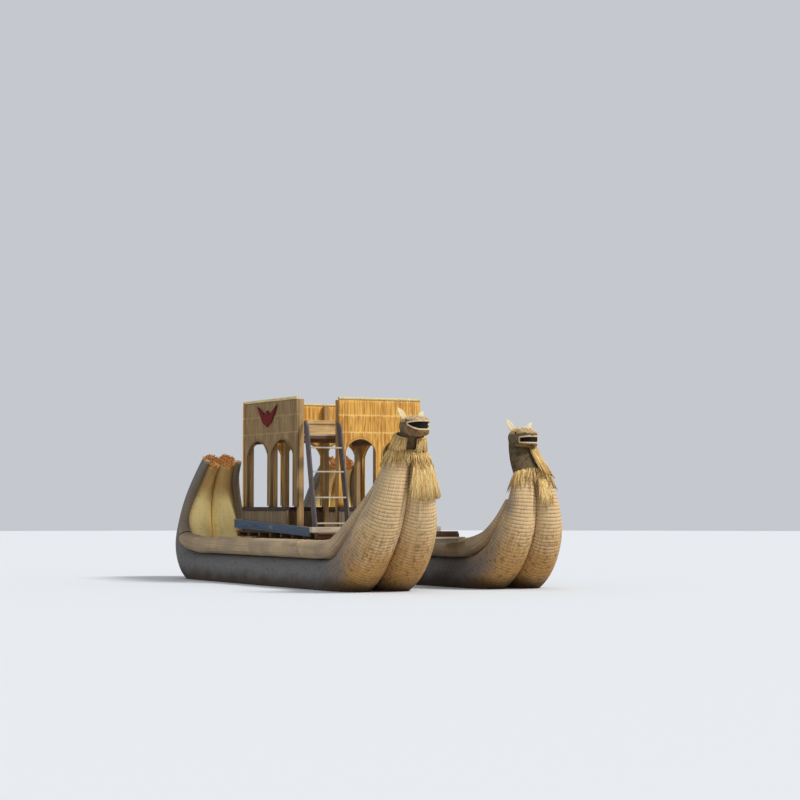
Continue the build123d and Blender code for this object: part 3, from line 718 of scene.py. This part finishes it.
def board_wear_and_sheen(hue):
    """Blue-grey boards worn to the wood in patches; the blue is a painted reflection of the sky on
    their shaded faces, and the upward faces are painted pale as a highlight.
    """
    p = Paint("board_wear_and_sheen", roughness=0.7, specular=0.3)
    grain = p.noise(p.place, detail=4, stretch=(2.0, 40, 40))
    patches = p.noise(p.place, detail=4, stretch=(1.6, 6, 6))
    _, _, up = p.split(p.facing)
    worn = (patches + (grain - 0.5) * 0.5).ease(0.62, 0.74)
    # Painted reflection: the blue-grey base of the boards.
    p.base = p.mix(grain.ease(0.3, 0.7), shade_of(hue.paint, 0.7), hue.paint)
    p.coat(worn * 0.5, hue.pale)
    # Painted highlight: the upward faces are pale where the light falls on them.
    p.coat(up.ease(0.6, 0.9) * 0.75, hue.pale)
    p.coat((1 - patches.ease(0.3, 0.45)) * 0.55, hue.dark)
    p.finish(grain + worn * 0.5, 0.4, 0.003)


def woven(name, colour, second, scale=70.0):
    """Closely woven matting."""
    p = Paint(name, roughness=0.9)
    x, y, z = p.split(p.place)
    weft = p.math("SINE", z * scale)
    warp = p.math("SINE", (x + y) * scale * 0.8)
    weave = (weft * warp) * 0.5 + 0.5
    patches = p.noise(p.place, scale=11)
    p.base = p.mix(weave, shade_of(colour, 0.6), colour)
    p.coat(patches.ease(0.4, 0.7), second)
    p.finish(weave + patches, 0.5, 0.004)


def plain(name, colour, vary=0.25):
    """Nearly even colour with a little dirt."""
    p = Paint(name, roughness=0.9)
    patches = p.noise(p.place, scale=30)
    p.base = p.mix(patches * vary, colour, shade_of(colour, 0.3))
    p.finish(patches, 0.2, 0.002)


def make_materials(scene):
    reed, wood = scene.boat_reed, scene.boat_timber
    bound_reed(reed)
    roll_reed(reed)
    cut_ends(reed)
    straw(scene.boat_straw)
    board_wear_and_sheen(wood)
    # Painted shade: the starboard wall and the parapets take darker copies of the thatch, standing in
    # for their shade.
    for name, shade_share in (("thatch", 0.0), ("thatch_grey", 0.85), ("parapet_reed", 1.0)):
        thatch(name, scene.boat_thatch, shade_share)
    # Name, colour, axis of the grain, wear
    for row in (("timber_pale", wood.pale, "y", 0.35), ("timber_slate", wood.slate, "z", 0.3),
                ("timber_cream", wood.cream, "y", 0.3), ("timber_brown_x", wood.brown, "x"),
                ("timber_brown_y", wood.brown, "y"), ("timber_brown_z", wood.brown, "z"),
                ("timber_tan", wood.tan, "z", 0.2), ("timber_dark", wood.dark, "x", 0.3),
                ("pole_straw", rgb(228, 206, 150), "x", 0.25)):
        timber(*row)
    # Name, colour, second colour, fineness
    for row in (("hide", rgb(124, 106, 76), rgb(78, 80, 70)),
                ("crown", rgb(208, 176, 132), rgb(176, 136, 92)),
                ("jaw", rgb(150, 108, 64), rgb(100, 84, 58)),
                ("throat", rgb(112, 92, 62), rgb(66, 60, 50), 90.0),
                ("mat", wood.mat, shade_of(wood.mat, 0.5))):
        woven(*row)
    # Name, colour, dirt
    for row in (("mouth", rgb(24, 18, 16)), ("rope", rgb(232, 206, 164), 0.5),
                ("arch_rope", rgb(222, 176, 98), 0.5), ("ear", rgb(244, 226, 178), 0.4),
                ("figure", wood.cloth, 0.7), ("floor", scene.boat_stage.floor, 0.0)):
        plain(*row)


# Hulls

def ring_rows(length, pitch):
    """Distance and ring count of each row along a bound reed form."""
    turns = max(int(round(length / pitch)), 2)
    rows = [(t + share) for t in range(turns) for share in RING]
    rows.append(float(turns))
    return [(t / turns * length, t) for t in rows]


def bite(turn):
    """How far the rope bites at a ring count: 1 in the crease, 0 on the crest."""
    share = abs(turn % 1 - 0.5) * 2
    return share ** 3


def bundle_outline():
    """Local corners of a pressed circle of radius 1: sideways, deckward, radial direction."""
    reach = pi - acos(PRESS)
    points = [(0.0, 0.0, None)]
    arc = AROUND - 2
    for k in range(arc + 1):
        a = -reach + 2 * reach * k / arc
        points.append((PRESS + cos(a), sin(a), a))
    points.append((0.0, 0.0, None))
    return points


def reed_bundle(side, name, hand, settings):
    """Half of a hull: a pressed bundle whose rope bites in, with a slight wind."""
    course = Course(whole_hull(side))
    neck = course.length - STERN_CUT
    rows = ring_rows(neck + NECK_ROUND * 0.7, settings.ring_pitch)
    outline = bundle_outline()
    stations = [course.at(STERN_CUT + s) for s, _ in rows]
    seed = 10 * SIDES[side] + 3 * hand
    columns = len(outline) - 1

    def rope_depth(s, angle, station):
        depth = blend(settings.body_depth, settings.bow_depth, ease(2.3, 3.3, station.x))
        uneven = 0.70 + 0.7 * wobble(s * 0.9, angle * 0.8, seed)
        return depth * (uneven * (1 - 0.4 * ease(1.4, 2.2, station.z)))

    def place(i, j):
        s, turn = rows[j]
        station = stations[j]
        centre, along, deck = axes(side, station)
        sideways, deckward, angle = outline[i]
        r = station.radius * (0.55 + 0.45 * dome((rows[-1][0] - s) / NECK_ROUND))
        centre += along * max(s - neck, 0.0)
        spot = beside(centre, deck, hand * sideways * r, deckward * r)
        if angle is None:
            return spot + PORTWARD * (hand * 0.0006)
        swell = 0.006 * wobble(s * 1.6, cos(angle) * 1.1, sin(angle) * 1.1 + seed)
        fine = 0.0025 * wobble(angle * 26, s * 1.5, seed)
        radial = PORTWARD * (hand * cos(angle)) + deck * sin(angle)
        ends = min(j, len(rows) - 1 - j, 6) / 6
        wind = (angle / (2 * pi)) * settings.ring_pitch * ends
        out = swell + fine - 0.006 - rope_depth(s, angle, station) * bite(turn)
        return spot + radial * out + along * wind

    bm = bmesh.new()
    grid(bm, columns, len(rows) - 1, place, lambda i, j: (i / columns, rows[j][1]))
    piece(bm, f"reed_bundle_{name}_{side}", "bound_reed", "totora_reed", f"bundle_{name}_{side}")


def roll_centre(side, station, hand):
    """Middle of a roll beside a cross section, and the deck-side direction there."""
    centre, _, deck = axes(side, station)
    a = radians(station.roll_angle)
    reach = station.radius + station.roll_radius
    sideways = hand * (PRESS * station.radius + reach * cos(a))
    return beside(centre, deck, sideways, reach * sin(a)), deck


def reed_roll(bm, side, hand, rows, settings, domes):
    """A bound roll that rests on its bundle; domes are its ends' lengths in radii."""
    course = Course(rows)
    marks = ring_rows(course.length, settings.roll_pitch)
    stations = [course.at(s) for s, _ in marks]
    seed = 7 * SIDES[side] + 2 * hand

    def place(i, j):
        s, turn = marks[j]
        station = stations[j]
        centre, deck = roll_centre(side, station, hand)
        r = station.roll_radius
        share = r / BODY_ROLL_RADIUS
        angle = part_turn(i, ROLL_AROUND)
        size = r * (1 + 0.4 * ease(1.6, 2.5, station.z) * (station.x < -3.4))
        size -= 0.003 + 0.006 * bite(turn) * share
        size += 0.006 * share * wobble(s * 1.7, cos(angle), sin(angle) + seed)
        for wanted, distance in zip(domes, (s, course.length - s)):
            if wanted:
                size *= dome(distance / (r * wanted)) * 0.98 + 0.02
        return centre + (PORTWARD * cos(angle) + deck * sin(angle)) * size

    grid(bm, ROLL_AROUND, len(marks) - 1, place, lambda i, j: (i / ROLL_AROUND, marks[j][1]))


def stern_tip():
    """End of the edging, a little past the cut reed ends."""
    end = STERN_ROWS[-1]
    a = radians(end.heading)
    return end._replace(x=end.x - EDGING_TIP * cos(a), z=end.z - EDGING_TIP * sin(a))


def cut_reeds(side):
    """Short stalks standing out of the sterns' cut ends."""
    end = Course(STERN_ROWS[::-1]).at(STERN_CUT)
    centre, along, deck = axes(side, end)
    out = -along
    rng = random.Random(40 + SIDES[side])
    bm = bmesh.new()
    for hand in (-1, 1):
        for _ in range(CUT_STALKS):
            r = sqrt(rng.random()) * end.radius * 0.95
            a = rng.random() * 2 * pi
            sideways = max(PRESS * end.radius + r * cos(a), 0.004)
            foot = beside(centre, deck, hand * sideways, r * sin(a)) - out * 0.03
            lean = (PORTWARD * rng.uniform(-1, 1) + deck * rng.uniform(-1, 1)) * 0.22
            tip = foot + (out + lean).normalized() * rng.uniform(0.04, 0.09)
            tube(bm, [foot, tip], rng.uniform(0.005, 0.010), sides=5)
    piece(bm, f"cut_reeds_{side}", "cut_ends", "totora_reed")


class BOAT_OT_hulls(bpy.types.Operator):
    """Bound reed bundles with their rope rings, and the cut ends at the sterns"""
    bl_idname = "boat.hulls"
    bl_label = "Hulls"

    def execute(self, context):
        settings = context.scene.boat_reed
        for side, toward in SIDES.items():
            reed_bundle(side, "outer", toward, settings)
            reed_bundle(side, "inner", -toward, settings)
            cut_reeds(side)
        return {"FINISHED"}


class BOAT_OT_gunwales(bpy.types.Operator):
    """Reed rolls along the gunwales, up the necks and up the sterns' edges"""
    bl_idname = "boat.gunwales"
    bl_label = "Gunwales"

    def execute(self, context):
        aft = STERN_ROWS[ELBOW::-1] + [straight(x) for x in (AFT_BEND, BODY_AFT, 0.0, NOTCH)]
        edging = [stern_tip()] + STERN_ROWS[:ELBOW - 1:-1]
        for side in SIDES:
            bow = [straight(NOTCH)] + BOW_ROWS[side][:-1]
            for name, node, rows, domes in (
                    ("gunwale_rolls_aft", "gunwales_aft", aft, (1.1, 0.35)),
                    ("gunwale_rolls_bow", "gunwales_bow", bow, (0.35, 0.0)),
                    ("stern_rolls", "stern_edging", edging, (0.5, 0.0))):
                bm = bmesh.new()
                for hand in (-1, 1):
                    reed_roll(bm, side, hand, rows, context.scene.boat_reed, domes)
                piece(bm, f"{name}_{side}", "roll_reed", "totora_reed", f"{node}_{side}")
        return {"FINISHED"}


# Heads

FILL_MIDDLE, FILL_LONG, FILL_WIDE = 0.055, 0.275, 0.182   # dark form behind the lips, half sizes


def skull_middle(side):
    return Vector((HEADS[side].x, SIDES[side] * HULL_Y, HEADS[side].z))


def palate(head, x):
    return head.mouth + head.gap + max(x - head.corner, 0) * 0.10


def jaw_top(head, x):
    return head.mouth - head.gap - max(x - head.corner, 0) * head.drop


def squared(share):
    """Sine or cosine, pushed out toward a square."""
    return copysign(abs(share) ** SQUARENESS, share)


def head_form(bm, side, ends, width, top, bottom, columns, rows):
    """Sweep squared sections along the head, closer together toward the snout."""
    skull = skull_middle(side)

    def place(i, j):
        x = blend(*ends, 1 - (1 - j / rows) ** 1.6)
        a = part_turn(i % columns, columns)
        middle = (top(x) + bottom(x)) / 2
        half = (top(x) - bottom(x)) / 2
        y = width(x) * squared(cos(a))
        z = middle + half * squared(sin(a))
        lump = 0.005 * wobble(x * 14, a * 2.2, SIDES[side] * 5)
        return skull + Vector((x, y * (1 + lump), z + lump * (1 if z > middle else -1)))

    grid(bm, columns, rows, place)


def mark_head(bm, side):
    """Give the crown, the jaw and the inside of the mouth their materials."""
    head = HEADS[side]
    skull = skull_middle(side)
    for f in bm.faces:
        x, y, z = f.calc_center_median() - skull
        roof, floor = palate(head, x), jaw_top(head, x)
        in_mouth = x > head.corner - 0.03 and floor - 0.012 < z < roof + 0.008
        if in_mouth and abs(f.normal.z) > 0.35 and abs(y) < 0.94 * HALF_WIDTH(x):
            f.material_index = MOUTH
        elif z > max(0.075, roof) + 0.03 * wobble(x * 9, y * 9, 1):
            f.material_index = CROWN
        elif z < floor - 0.01 and x > 0.04 + 0.05 * wobble(z * 14, y * 9, 4):
            f.material_index = JAW


def ear(bm, side, hand, share):
    """Leaf of rolled straw that stands up and leans out."""
    columns, rows = 10, 8
    foot = skull_middle(side) + Vector((-0.11, hand * 0.12, 0.118))
    lean = Matrix.Rotation(radians(-hand * 38), 3, "X")

    def place(i, j):
        v = j / rows
        half = 0.055 * sin(pi * (0.18 + 0.80 * v)) ** 0.8
        a = part_turn(i, columns)
        cup = 0.016 * (cos(a) ** 2) * sin(pi * v)
        return foot + lean @ Vector((0.013 * sin(a) * (1 - 0.5 * v) + cup,
                                     half * cos(a), 0.25 * share * v))

    grid(bm, columns, rows, place, material=EAR)


def lip_points(corner, width, height):
    """Round the open edge of a jaw, from the starboard corner to the port one."""
    half = []
    steps = 20
    for k in range(steps + 1):
        x = blend(corner, LIPS_TIP, sin(k / steps * pi / 2))
        half.append((x, width(min(x, LIPS_TIP))))
    return ([Vector((x, -y, height(x))) for x, y in half]
            + [Vector((x, y, height(x))) for x, y in reversed(half[:-1])])


def mouth_fill(bm, side):
    """Dark upright form that closes the mouth behind the lips."""
    skull = skull_middle(side)
    low, high = (HEADS[side].mouth + z for z in (-0.11, 0.055))
    columns, rows = 28, 4

    def place(i, j):
        a = part_turn(i, columns)
        return skull + Vector((FILL_MIDDLE + FILL_LONG * cos(a), FILL_WIDE * sin(a),
                               blend(low, high, j / rows)))

    grid(bm, columns, rows, place, material=MOUTH)


def shag(bm, side):
    """Short pale fibres on the crown."""
    skull = skull_middle(side)
    rng = random.Random(90 + SIDES[side])
    for _ in range(HEADS[side].shag):
        x = rng.uniform(-0.24, 0.24)
        y = rng.uniform(-0.8, 0.8) * HALF_WIDTH(x)
        z = SKULL_TOP(x) * sqrt(max(1 - (y / HALF_WIDTH(x)) ** 2, 0.05)) ** 0.6 - 0.012
        foot = Vector((x, y, z))
        way = Vector((rng.uniform(-0.8, 0.5), y * 3 + rng.uniform(-0.4, 0.4), rng.uniform(0.15, 0.5)))
        tip = foot + way.normalized() * rng.uniform(0.03, 0.07)
        knee = (foot + tip) / 2 + Vector((0, 0, 0.006))
        tube(bm, [skull + q for q in (foot, knee, tip)], rng.uniform(0.003, 0.006), sides=4,
             material=EAR)


def eyes(bm, side):
    for hand in (-1, 1):
        eye = skull_middle(side) + Vector((0.06, hand * 0.190, 0.094))
        made = bmesh.ops.create_uvsphere(bm, u_segments=12, v_segments=8, radius=EYE,
                                         matrix=Matrix.Translation(eye))["verts"]
        for f in faces_of(made):
            f.material_index = MOUTH
            f.smooth = True


def animal_head(side):
    """Woven head with an open, rope-lipped mouth and two ears."""
    head = HEADS[side]
    roof, floor = partial(palate, head), partial(jaw_top, head)

    def underside(x):
        forward = ease(head.corner - 0.02, head.corner + 0.015, x)
        return blend(SKULL_BOTTOM(x), roof(x), forward)

    bm = bmesh.new()
    head_form(bm, side, (SKULL_BACK, SKULL_TIP), HALF_WIDTH, SKULL_TOP, underside, 40, 60)
    head_form(bm, side, (JAW_BACK, JAW_TIP), JAW_WIDTH, floor, JAW_BOTTOM, 36, 30)
    close_up(bm)
    mark_head(bm, side)
    ear(bm, side, SIDES[side], head.outer_ear)
    ear(bm, side, -SIDES[side], head.inner_ear)
    shag(bm, side)
    mouth_fill(bm, side)
    lips = lip_points(head.corner, HALF_WIDTH, lambda x: roof(x) + 0.006)
    lips += lip_points(head.corner, JAW_WIDTH, lambda x: floor(x) - 0.004)[::-1]
    tube(bm, [skull_middle(side) + q for q in lips], LIP_ROPE, sides=9, closed=True,
         material=ROPE)
    eyes(bm, side)
    piece(bm, f"animal_head_{side}", HEAD_MATERIALS, "head_hide", f"head_{side}")


# Straw

Ring = namedtuple("Ring", "centre depth wide deep")


def neck_ring(side, row, t):
    """Ring of a skirt round the neck, t from its top to its hem."""
    rows = BOW_ROWS[side]
    drop = row.drop + row.length * t
    upper = rows[-1]
    for lower, bend in zip(rows[-2::-1], BOWS[side].bends[::-1]):
        if drop <= bend.run:
            break
        drop -= bend.run
        upper = lower
    station = Station(*(blend(a, b, drop / bend.run) for a, b in zip(upper, lower)))
    centre, _, deck = axes(side, station)
    return Ring(centre, deck, blend(row.top_width, row.hem_width, t),
                blend(row.top_depth, row.hem_depth, t))


def throat_ring(side, share):
    """Ring of the matting, share from its foot to its top inside the skull."""
    t = THROATS[side]
    foot, along, _ = axes(side, BOW_ROWS[side][-1])
    top = skull_middle(side) - Vector((t.back, 0, 0))
    along = along.lerp(Vector((t.lean, 0, 1)).normalized(), share).normalized()
    centre = foot.lerp(top, share) - Vector((t.sag * sin(pi * share), 0, 0))
    return Ring(centre, Vector((-along.z, 0, along.x)), blend(t.foot_wide, t.top_wide, share),
                blend(t.foot_deep, t.top_deep, share))


def ruff_ring(side, row, t):
    """Ring of the straw on the matting, t from its top to its hem."""
    foot, top = throat_ring(side, 0).centre, throat_ring(side, 1).centre
    ring = throat_ring(side, row.reach / (top - foot).length * (1 - t))
    out = blend(row.top, row.foot, t)
    return ring._replace(wide=ring.wide + out, deep=ring.deep + out)


class Straw:
    """One bunch of straw: its rings, its first and last angle, and how it hangs."""

    def __init__(self, name, side):
        self.side = side
        self.late = 0.35 if name == "cape" else 0.25
        self.row = RUFFS[side] if name == "ruff" else SKIRTS[name, side]
        self.ring_at = ruff_ring if name == "ruff" else neck_ring
        self.first, self.last = self.ruff_ends() if name == "ruff" else self.skirt_ends()

    def ruff_ends(self):
        wide = self.ring_at(self.side, self.row, 1).wide
        first = -acos(self.row.high / wide)
        if self.row.behind is None:
            return first, 2 * pi - acos(self.row.low / wide)
        return first, radians(self.row.behind)

    def skirt_ends(self):
        if self.row.span is None:
            return 0.0, 2 * pi
        low, high = (clamp(y / self.row.hem_width, -0.98, 0.98) for y in self.row.span)
        return -acos(low), -acos(high)

    def spot(self, angle, t, out=0.0):
        ring = self.ring_at(self.side, self.row, t)
        return beside(ring.centre, ring.depth, (ring.wide + out) * cos(angle),
                      (ring.deep + out) * sin(angle))


def straw_core(bm, bunch, seed):
    """Closed ragged shell under the loose strands."""
    columns = 72
    outside = [(k / 5, 0.016) for k in range(6)]
    inside = [(1 - k / 2, 0.036) for k in range(3)]
    section = outside + inside
    closed = bunch.last - bunch.first > 6.28

    def place(i, j):
        k = i % columns if closed else i
        angle = bunch.first + (bunch.last - bunch.first) * k / columns
        t, deep = section[j % len(section)]
        ragged = 0.05 * wobble(angle * 9, seed, 2) * t
        fold = 0.008 * wobble(angle * 14, t * 1.5, 5)
        return bunch.spot(angle, t * 0.74 + ragged, -deep + fold)

    grid(bm, columns, len(section), place, lambda i, j: (i * 1.7, j / len(section)))


def straw_piece(side, name, settings):
    """A bunch of straw: strands of many lengths over a ragged core."""
    bunch = Straw(name, side)
    seed = steady_number(name) + SIDES[side]
    bm = bmesh.new()
    if (name, side) != ("collar", "port"):
        straw_core(bm, bunch, seed)
    rng = random.Random(seed)
    layer = bm.loops.layers.uv.verify()
    for _ in range(bunch.row.strands):
        angle = blend(bunch.first, bunch.last, rng.random())
        foot = rng.random() * bunch.late
        reach = rng.uniform(0.62, 1.03)
        if name != "cape":
            reach += 0.12 + rng.random() ** 3 * (1.1 if name == "collar" else 0.1)
        drift = rng.uniform(-0.13, 0.13)
        lift = rng.uniform(-0.014, 0.008)
        points = []
        for q in (0.0, 0.34, 0.67, 1.0):
            out = lift * 0.5 + 0.010 * sin(pi * q)
            points.append(bunch.spot(angle + drift * q, blend(foot, reach, q), out))
        faces = tube(bm, points, settings.thickness * rng.uniform(0.7, 1.25), sides=4)
        shade = rng.random() * 40
        for f in faces:
            for loop in f.loops:
                loop[layer].uv = (shade, loop[layer].uv.y)
    piece(bm, f"straw_{name}_{side}", "straw", "straw", f"{name}_{side}")


def neck_mat(side):
    """Dark matting between the bundles' end and the skull."""
    columns, rows = 48, 14

    def place(i, j):
        ring = throat_ring(side, j / rows)
        a = part_turn(i, columns)
        rib = 0.97 - 0.03 * (i % 2) + 0.02 * wobble(3 * cos(a), 3 * sin(a), j * 0.4)
        return beside(ring.centre, ring.depth, ring.wide * cos(a) * rib, ring.deep * sin(a) * rib)

    bm = bmesh.new()
    grid(bm, columns, rows, place)
    piece(bm, f"neck_mat_{side}", "throat", "neck_reed", f"throat_{side}")


class BOAT_OT_heads(bpy.types.Operator):
    """Animal heads on matted necks"""
    bl_idname = "boat.heads"
    bl_label = "Heads"

    def execute(self, context):
        for side in SIDES:
            neck_mat(side)
            animal_head(side)
        return {"FINISHED"}


class BOAT_OT_straw(bpy.types.Operator):
    """Straw ruffs, collars and capes round the necks"""
    bl_idname = "boat.straw"
    bl_label = "Straw"

    def execute(self, context):
        for side in SIDES:
            for name in ("ruff", "collar", "cape"):
                straw_piece(side, name, context.scene.boat_straw)
        return {"FINISHED"}


# Cabin

def wall_ends(name):
    """Ends of a wall's run; the long walls stop inside the athwart ones."""
    w = WALLS[name]
    inset = THATCH if w.runs == "x" else 0.0
    return w.low + inset, w.high - inset


def arch_spans(name):
    """Ends of each arch in a wall."""
    low, high = wall_ends(name)
    edges = [low + END_FOOT]
    for middle in WALLS[name].middles:
        edges += [middle - MIDDLE_FOOT / 2, middle + MIDDLE_FOOT / 2]
    edges.append(high - END_FOOT)
    return list(zip(edges[::2], edges[1::2]))


def arch_height(spans, along):
    """Height of a wall's lower edge along its run."""
    for a, b in spans:
        if a < along < b:
            half = (b - a) / 2
            rise = ARCH_TOP - ARCH_SPRING
            radius = (half * half + rise * rise) / (2 * rise)
            across = along - (a + b) / 2
            return ARCH_TOP - radius + sqrt(radius * radius - across * across)
    return WALL_FOOT


def wall_spot(name, along, depth, z):
    """Point on a wall: along its run, in from its outer face, up."""
    w = WALLS[name]
    inward = -1 if w.face > (0 if w.runs == "x" else CABIN_MIDDLE) else 1
    across = w.face + inward * depth
    return Vector((along, across, z)) if w.runs == "x" else Vector((across, along, z))


def lap(z, seams):
    """How far a course stands out at a height, over the one below it."""
    out = 0.0
    for seam in seams:
        if 0 <= seam - z < LAP_REACH:
            out = max(out, 0.010 * (1 - (seam - z) / LAP_REACH))
        if 0 < z - seam < 0.02:
            out -= 0.002
    return out


def panel(settings, wall, names, ends, bottom, top, thick, material, seams=()):
    """A reed panel: clumps of stalks side by side, in courses that lap each other."""
    name, node = names
    low, high = ends
    columns = max(int((high - low) / (settings.clump / CLUMP_STALKS)), 6)
    rows = 22
    seed = steady_number(name)
    ring = [(False, k / rows) for k in range(rows + 1)]
    ring += [(True, 1 - k / rows) for k in range(rows + 1)]

    def relief(j, z):
        uneven = 0.6 + 0.4 * wobble(j // CLUMP_STALKS * 3.7, seed, z * 0.8)
        return settings.relief * (j % CLUMP_STALKS > 0) * uneven + lap(z, seams)

    def place(i, j):
        back, share = ring[i % len(ring)]
        along = low + (high - low) * j / columns
        z = blend(bottom(along), top, share)
        out = relief(j, z)
        depth = thick - 0.012 + min(out, 0.010) if back else 0.020 - out
        if min(share, 1 - share) < 0.001:
            depth += -0.006 if back else 0.006
            z += 0.004 * wobble(j * 5.3, seed) if share < 0.5 else 0
        return wall_spot(wall, along, max(depth, 0.0), z)

    bm = bmesh.new()
    grid(bm, len(ring), columns, place, lambda i, j: (i / len(ring), j))
    piece(bm, name, material, "reed_thatch", node)


def arch_binding(name):
    """Rope along the edge of each arch, pale, but darker on the starboard wall with painted shade."""
    spans = arch_spans(name)
    leg = (WALL_FOOT + 0.02, 1.9, 2.2, 2.45)
    bm = bmesh.new()
    for a, b in spans:
        points = [wall_spot(name, a + ARCH_ROPE_IN, ARCH_ROPE, z) for z in leg]
        for k in range(25):
            along = (a + b) / 2 - (b - a - 2 * ARCH_ROPE_IN) / 2 * cos(pi * k / 24)
            z = arch_height(spans, along) - 0.002
            points.append(wall_spot(name, along, ARCH_ROPE, z))
        points += [wall_spot(name, b - ARCH_ROPE_IN, ARCH_ROPE, z) for z in leg[::-1]]
        tube(bm, points, ARCH_ROPE, sides=6)
    # Painted shade: the starboard arches' rope takes the shaded thatch colour.
    piece(bm, f"arch_binding_{name}", "thatch_grey" if name == "starboard" else "arch_rope",
          "reed_thatch")


class BOAT_OT_walls(bpy.types.Operator):
    """Thatched upper walls with arches, and reed parapets"""
    bl_idname = "boat.walls"
    bl_label = "Reed walls"

    def execute(self, context):
        settings = context.scene.boat_thatch
        for name, wall in WALLS.items():
            spans = arch_spans(name)
            # Painted shade: the starboard wall takes the darker thatch, and every parapet the darkest,
            # standing in for their shade.
            panel(settings, name, (f"thatch_{name}", f"reed_wall_{name}"), wall_ends(name),
                  lambda along: arch_height(spans, along), WALL_TOP, THATCH,
                  "thatch_grey" if name == "starboard" else "thatch", SEAMS)
            arch_binding(name)
            low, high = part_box(f"parapet_{name}")
            axis = "xy".index(wall.runs)
            panel(settings, name, (f"parapet_reed_{name}", f"parapet_{name}"),
                  (low[axis], high[axis]), lambda along: low[2], high[2], PARAPET_THICK,
                  "parapet_reed")
        return {"FINISHED"}


def lashings():
    """Rope round each cross beam and the gunwale roll it lies on."""
    beams = sorted({round(v.co.x, 3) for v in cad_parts["cross_beams"].data.vertices})
    fronts = [b for a, b in zip(beams, beams[1:]) if abs(b - a - BEAM_WIDE) < 0.01]
    points_round = 24
    bm = bmesh.new()
    for front in fronts:
        for side in SIDES:
            roll, _ = roll_centre(side, straight(0.0), -SIDES[side])
            for lean in (-LASHING_LEAN, LASHING_LEAN):
                points = []
                for k in range(points_round):
                    turn = part_turn(k, points_round)
                    up = sin(turn)
                    reach = LASHING_DOWN if up < 0 else LASHING_UP
                    points.append(Vector((front - BEAM_WIDE / 2 + lean * cos(turn),
                                          roll.y + LASHING_WIDE * cos(turn),
                                          roll.z + up * reach)))
                tube(bm, points, LASHING, sides=6, closed=True)
    piece(bm, "beam_lashings", "rope", "straw")


class BOAT_OT_timber(bpy.types.Operator):
    """Materials for the timber and cloth nodes, and the rope lashings"""
    bl_idname = "boat.timber"
    bl_label = "Timber"

    def execute(self, context):
        for nodes, material in (
                ("cross_beams upper_joists", "timber_brown_y"),
                ("deck_planks upper_bearers", "timber_brown_x"),
                ("posts", "timber_tan"),
                ("upper_bench_arm", "timber_brown_z"),
                ("upper_bench", "timber_cream"),
                ("upper_planks ladder_stop foredeck_boards ladder_steps", "timber_pale"),
                # Painted shade on the ladder's stringers.
                ("ladder_stringers", "timber_slate"),
                ("top_poles", "pole_straw"),
                ("sill_starboard sill_port sill_rear sill_front", "timber_dark"),
                # Painted reflection and highlight on the side boards.
                ("side_board_starboard side_board_port", "board_wear_and_sheen"),
                ("mat_rolls", "mat"),
                ("wall_figure", "figure")):
            dress(nodes, material)
        lashings()
        return {"FINISHED"}


# Stage

def aimed(name, data, place, way):
    """Object at a place that looks along a direction."""
    obj = add_object(name, data)
    obj.location = place
    obj.rotation_euler = way.to_track_quat("-Z", "Y").to_euler()
    return obj


def make_lamp(strength):
    data = bpy.data.lights.new("key", "SUN")
    data.angle = radians(LAMP_SPREAD)
    data.energy = strength
    aimed("key", data, LAMP_WAY + Vector((0, 0, 1.5)), -LAMP_WAY)


def make_camera():
    data = bpy.data.cameras.new("view")
    data.lens = CAMERA_LENS
    data.sensor_width = 36
    data.clip_end = 500
    pitch = radians(CAMERA_PITCH)
    aim = CAMERA_AIM.normalized() * cos(pitch) + Vector((0, 0, sin(pitch)))
    bpy.context.scene.camera = aimed("view", data, CAMERA_PLACE, aim)


def make_floor():
    bm = bmesh.new()
    bmesh.ops.create_circle(bm, cap_ends=True, segments=96, radius=FLOOR_RADIUS)
    obj = mesh_object(bm, "floor", "floor")


class BOAT_OT_stage(bpy.types.Operator):
    """Camera, floor at the waterline and soft light"""
    bl_idname = "boat.stage"
    bl_label = "Stage"

    def execute(self, context):
        settings = context.scene.boat_stage
        make_camera()
        make_floor()
        make_lamp(settings.key)
        world = bpy.data.worlds.new("sky")
        world.use_nodes = True
        background = world.node_tree.nodes["Background"]
        background.inputs[0].default_value = SKY
        background.inputs[1].default_value = settings.fill
        context.scene.world = world
        context.scene.view_settings.view_transform = "Standard"
        return {"FINISHED"}


# Add-on

class BOAT_PT_panel(bpy.types.Panel):
    """Lists the boat's operators and settings"""
    bl_idname = "BOAT_PT_panel"
    bl_label = "Reed Boat"
    bl_space_type = "VIEW_3D"
    bl_region_type = "UI"
    bl_category = "Reed Boat"

    def draw(self, context):
        for operator in OPERATORS:
            self.layout.operator(operator.bl_idname)
        for name in SETTINGS:
            group = getattr(context.scene, name)
            box = self.layout.box()
            for key in group.bl_rna.properties.keys():
                if key not in ("rna_type", "name"):
                    box.prop(group, key)


OPERATORS = (BOAT_OT_stage, BOAT_OT_hulls, BOAT_OT_gunwales, BOAT_OT_heads, BOAT_OT_straw,
             BOAT_OT_walls, BOAT_OT_timber)
SETTINGS = {"boat_reed": ReedSettings, "boat_straw": StrawSettings, "boat_thatch": ThatchSettings,
            "boat_timber": TimberSettings, "boat_stage": StageSettings}
CLASSES = (*SETTINGS.values(), *OPERATORS, BOAT_PT_panel)


def register():
    for item in CLASSES:
        bpy.utils.register_class(item)
    for name, group in SETTINGS.items():
        setattr(bpy.types.Scene, name, bpy.props.PointerProperty(type=group))


def unregister():
    for name in SETTINGS:
        delattr(bpy.types.Scene, name)
    for item in reversed(CLASSES):
        bpy.utils.unregister_class(item)


def main():
    register()
    make_materials(bpy.context.scene)
    bpy.ops.boat.stage()
    bpy.ops.boat.hulls()
    bpy.ops.boat.gunwales()
    bpy.ops.boat.heads()
    bpy.ops.boat.straw()
    bpy.ops.boat.walls()
    bpy.ops.boat.timber()


if __name__ == "__main__":
    main()
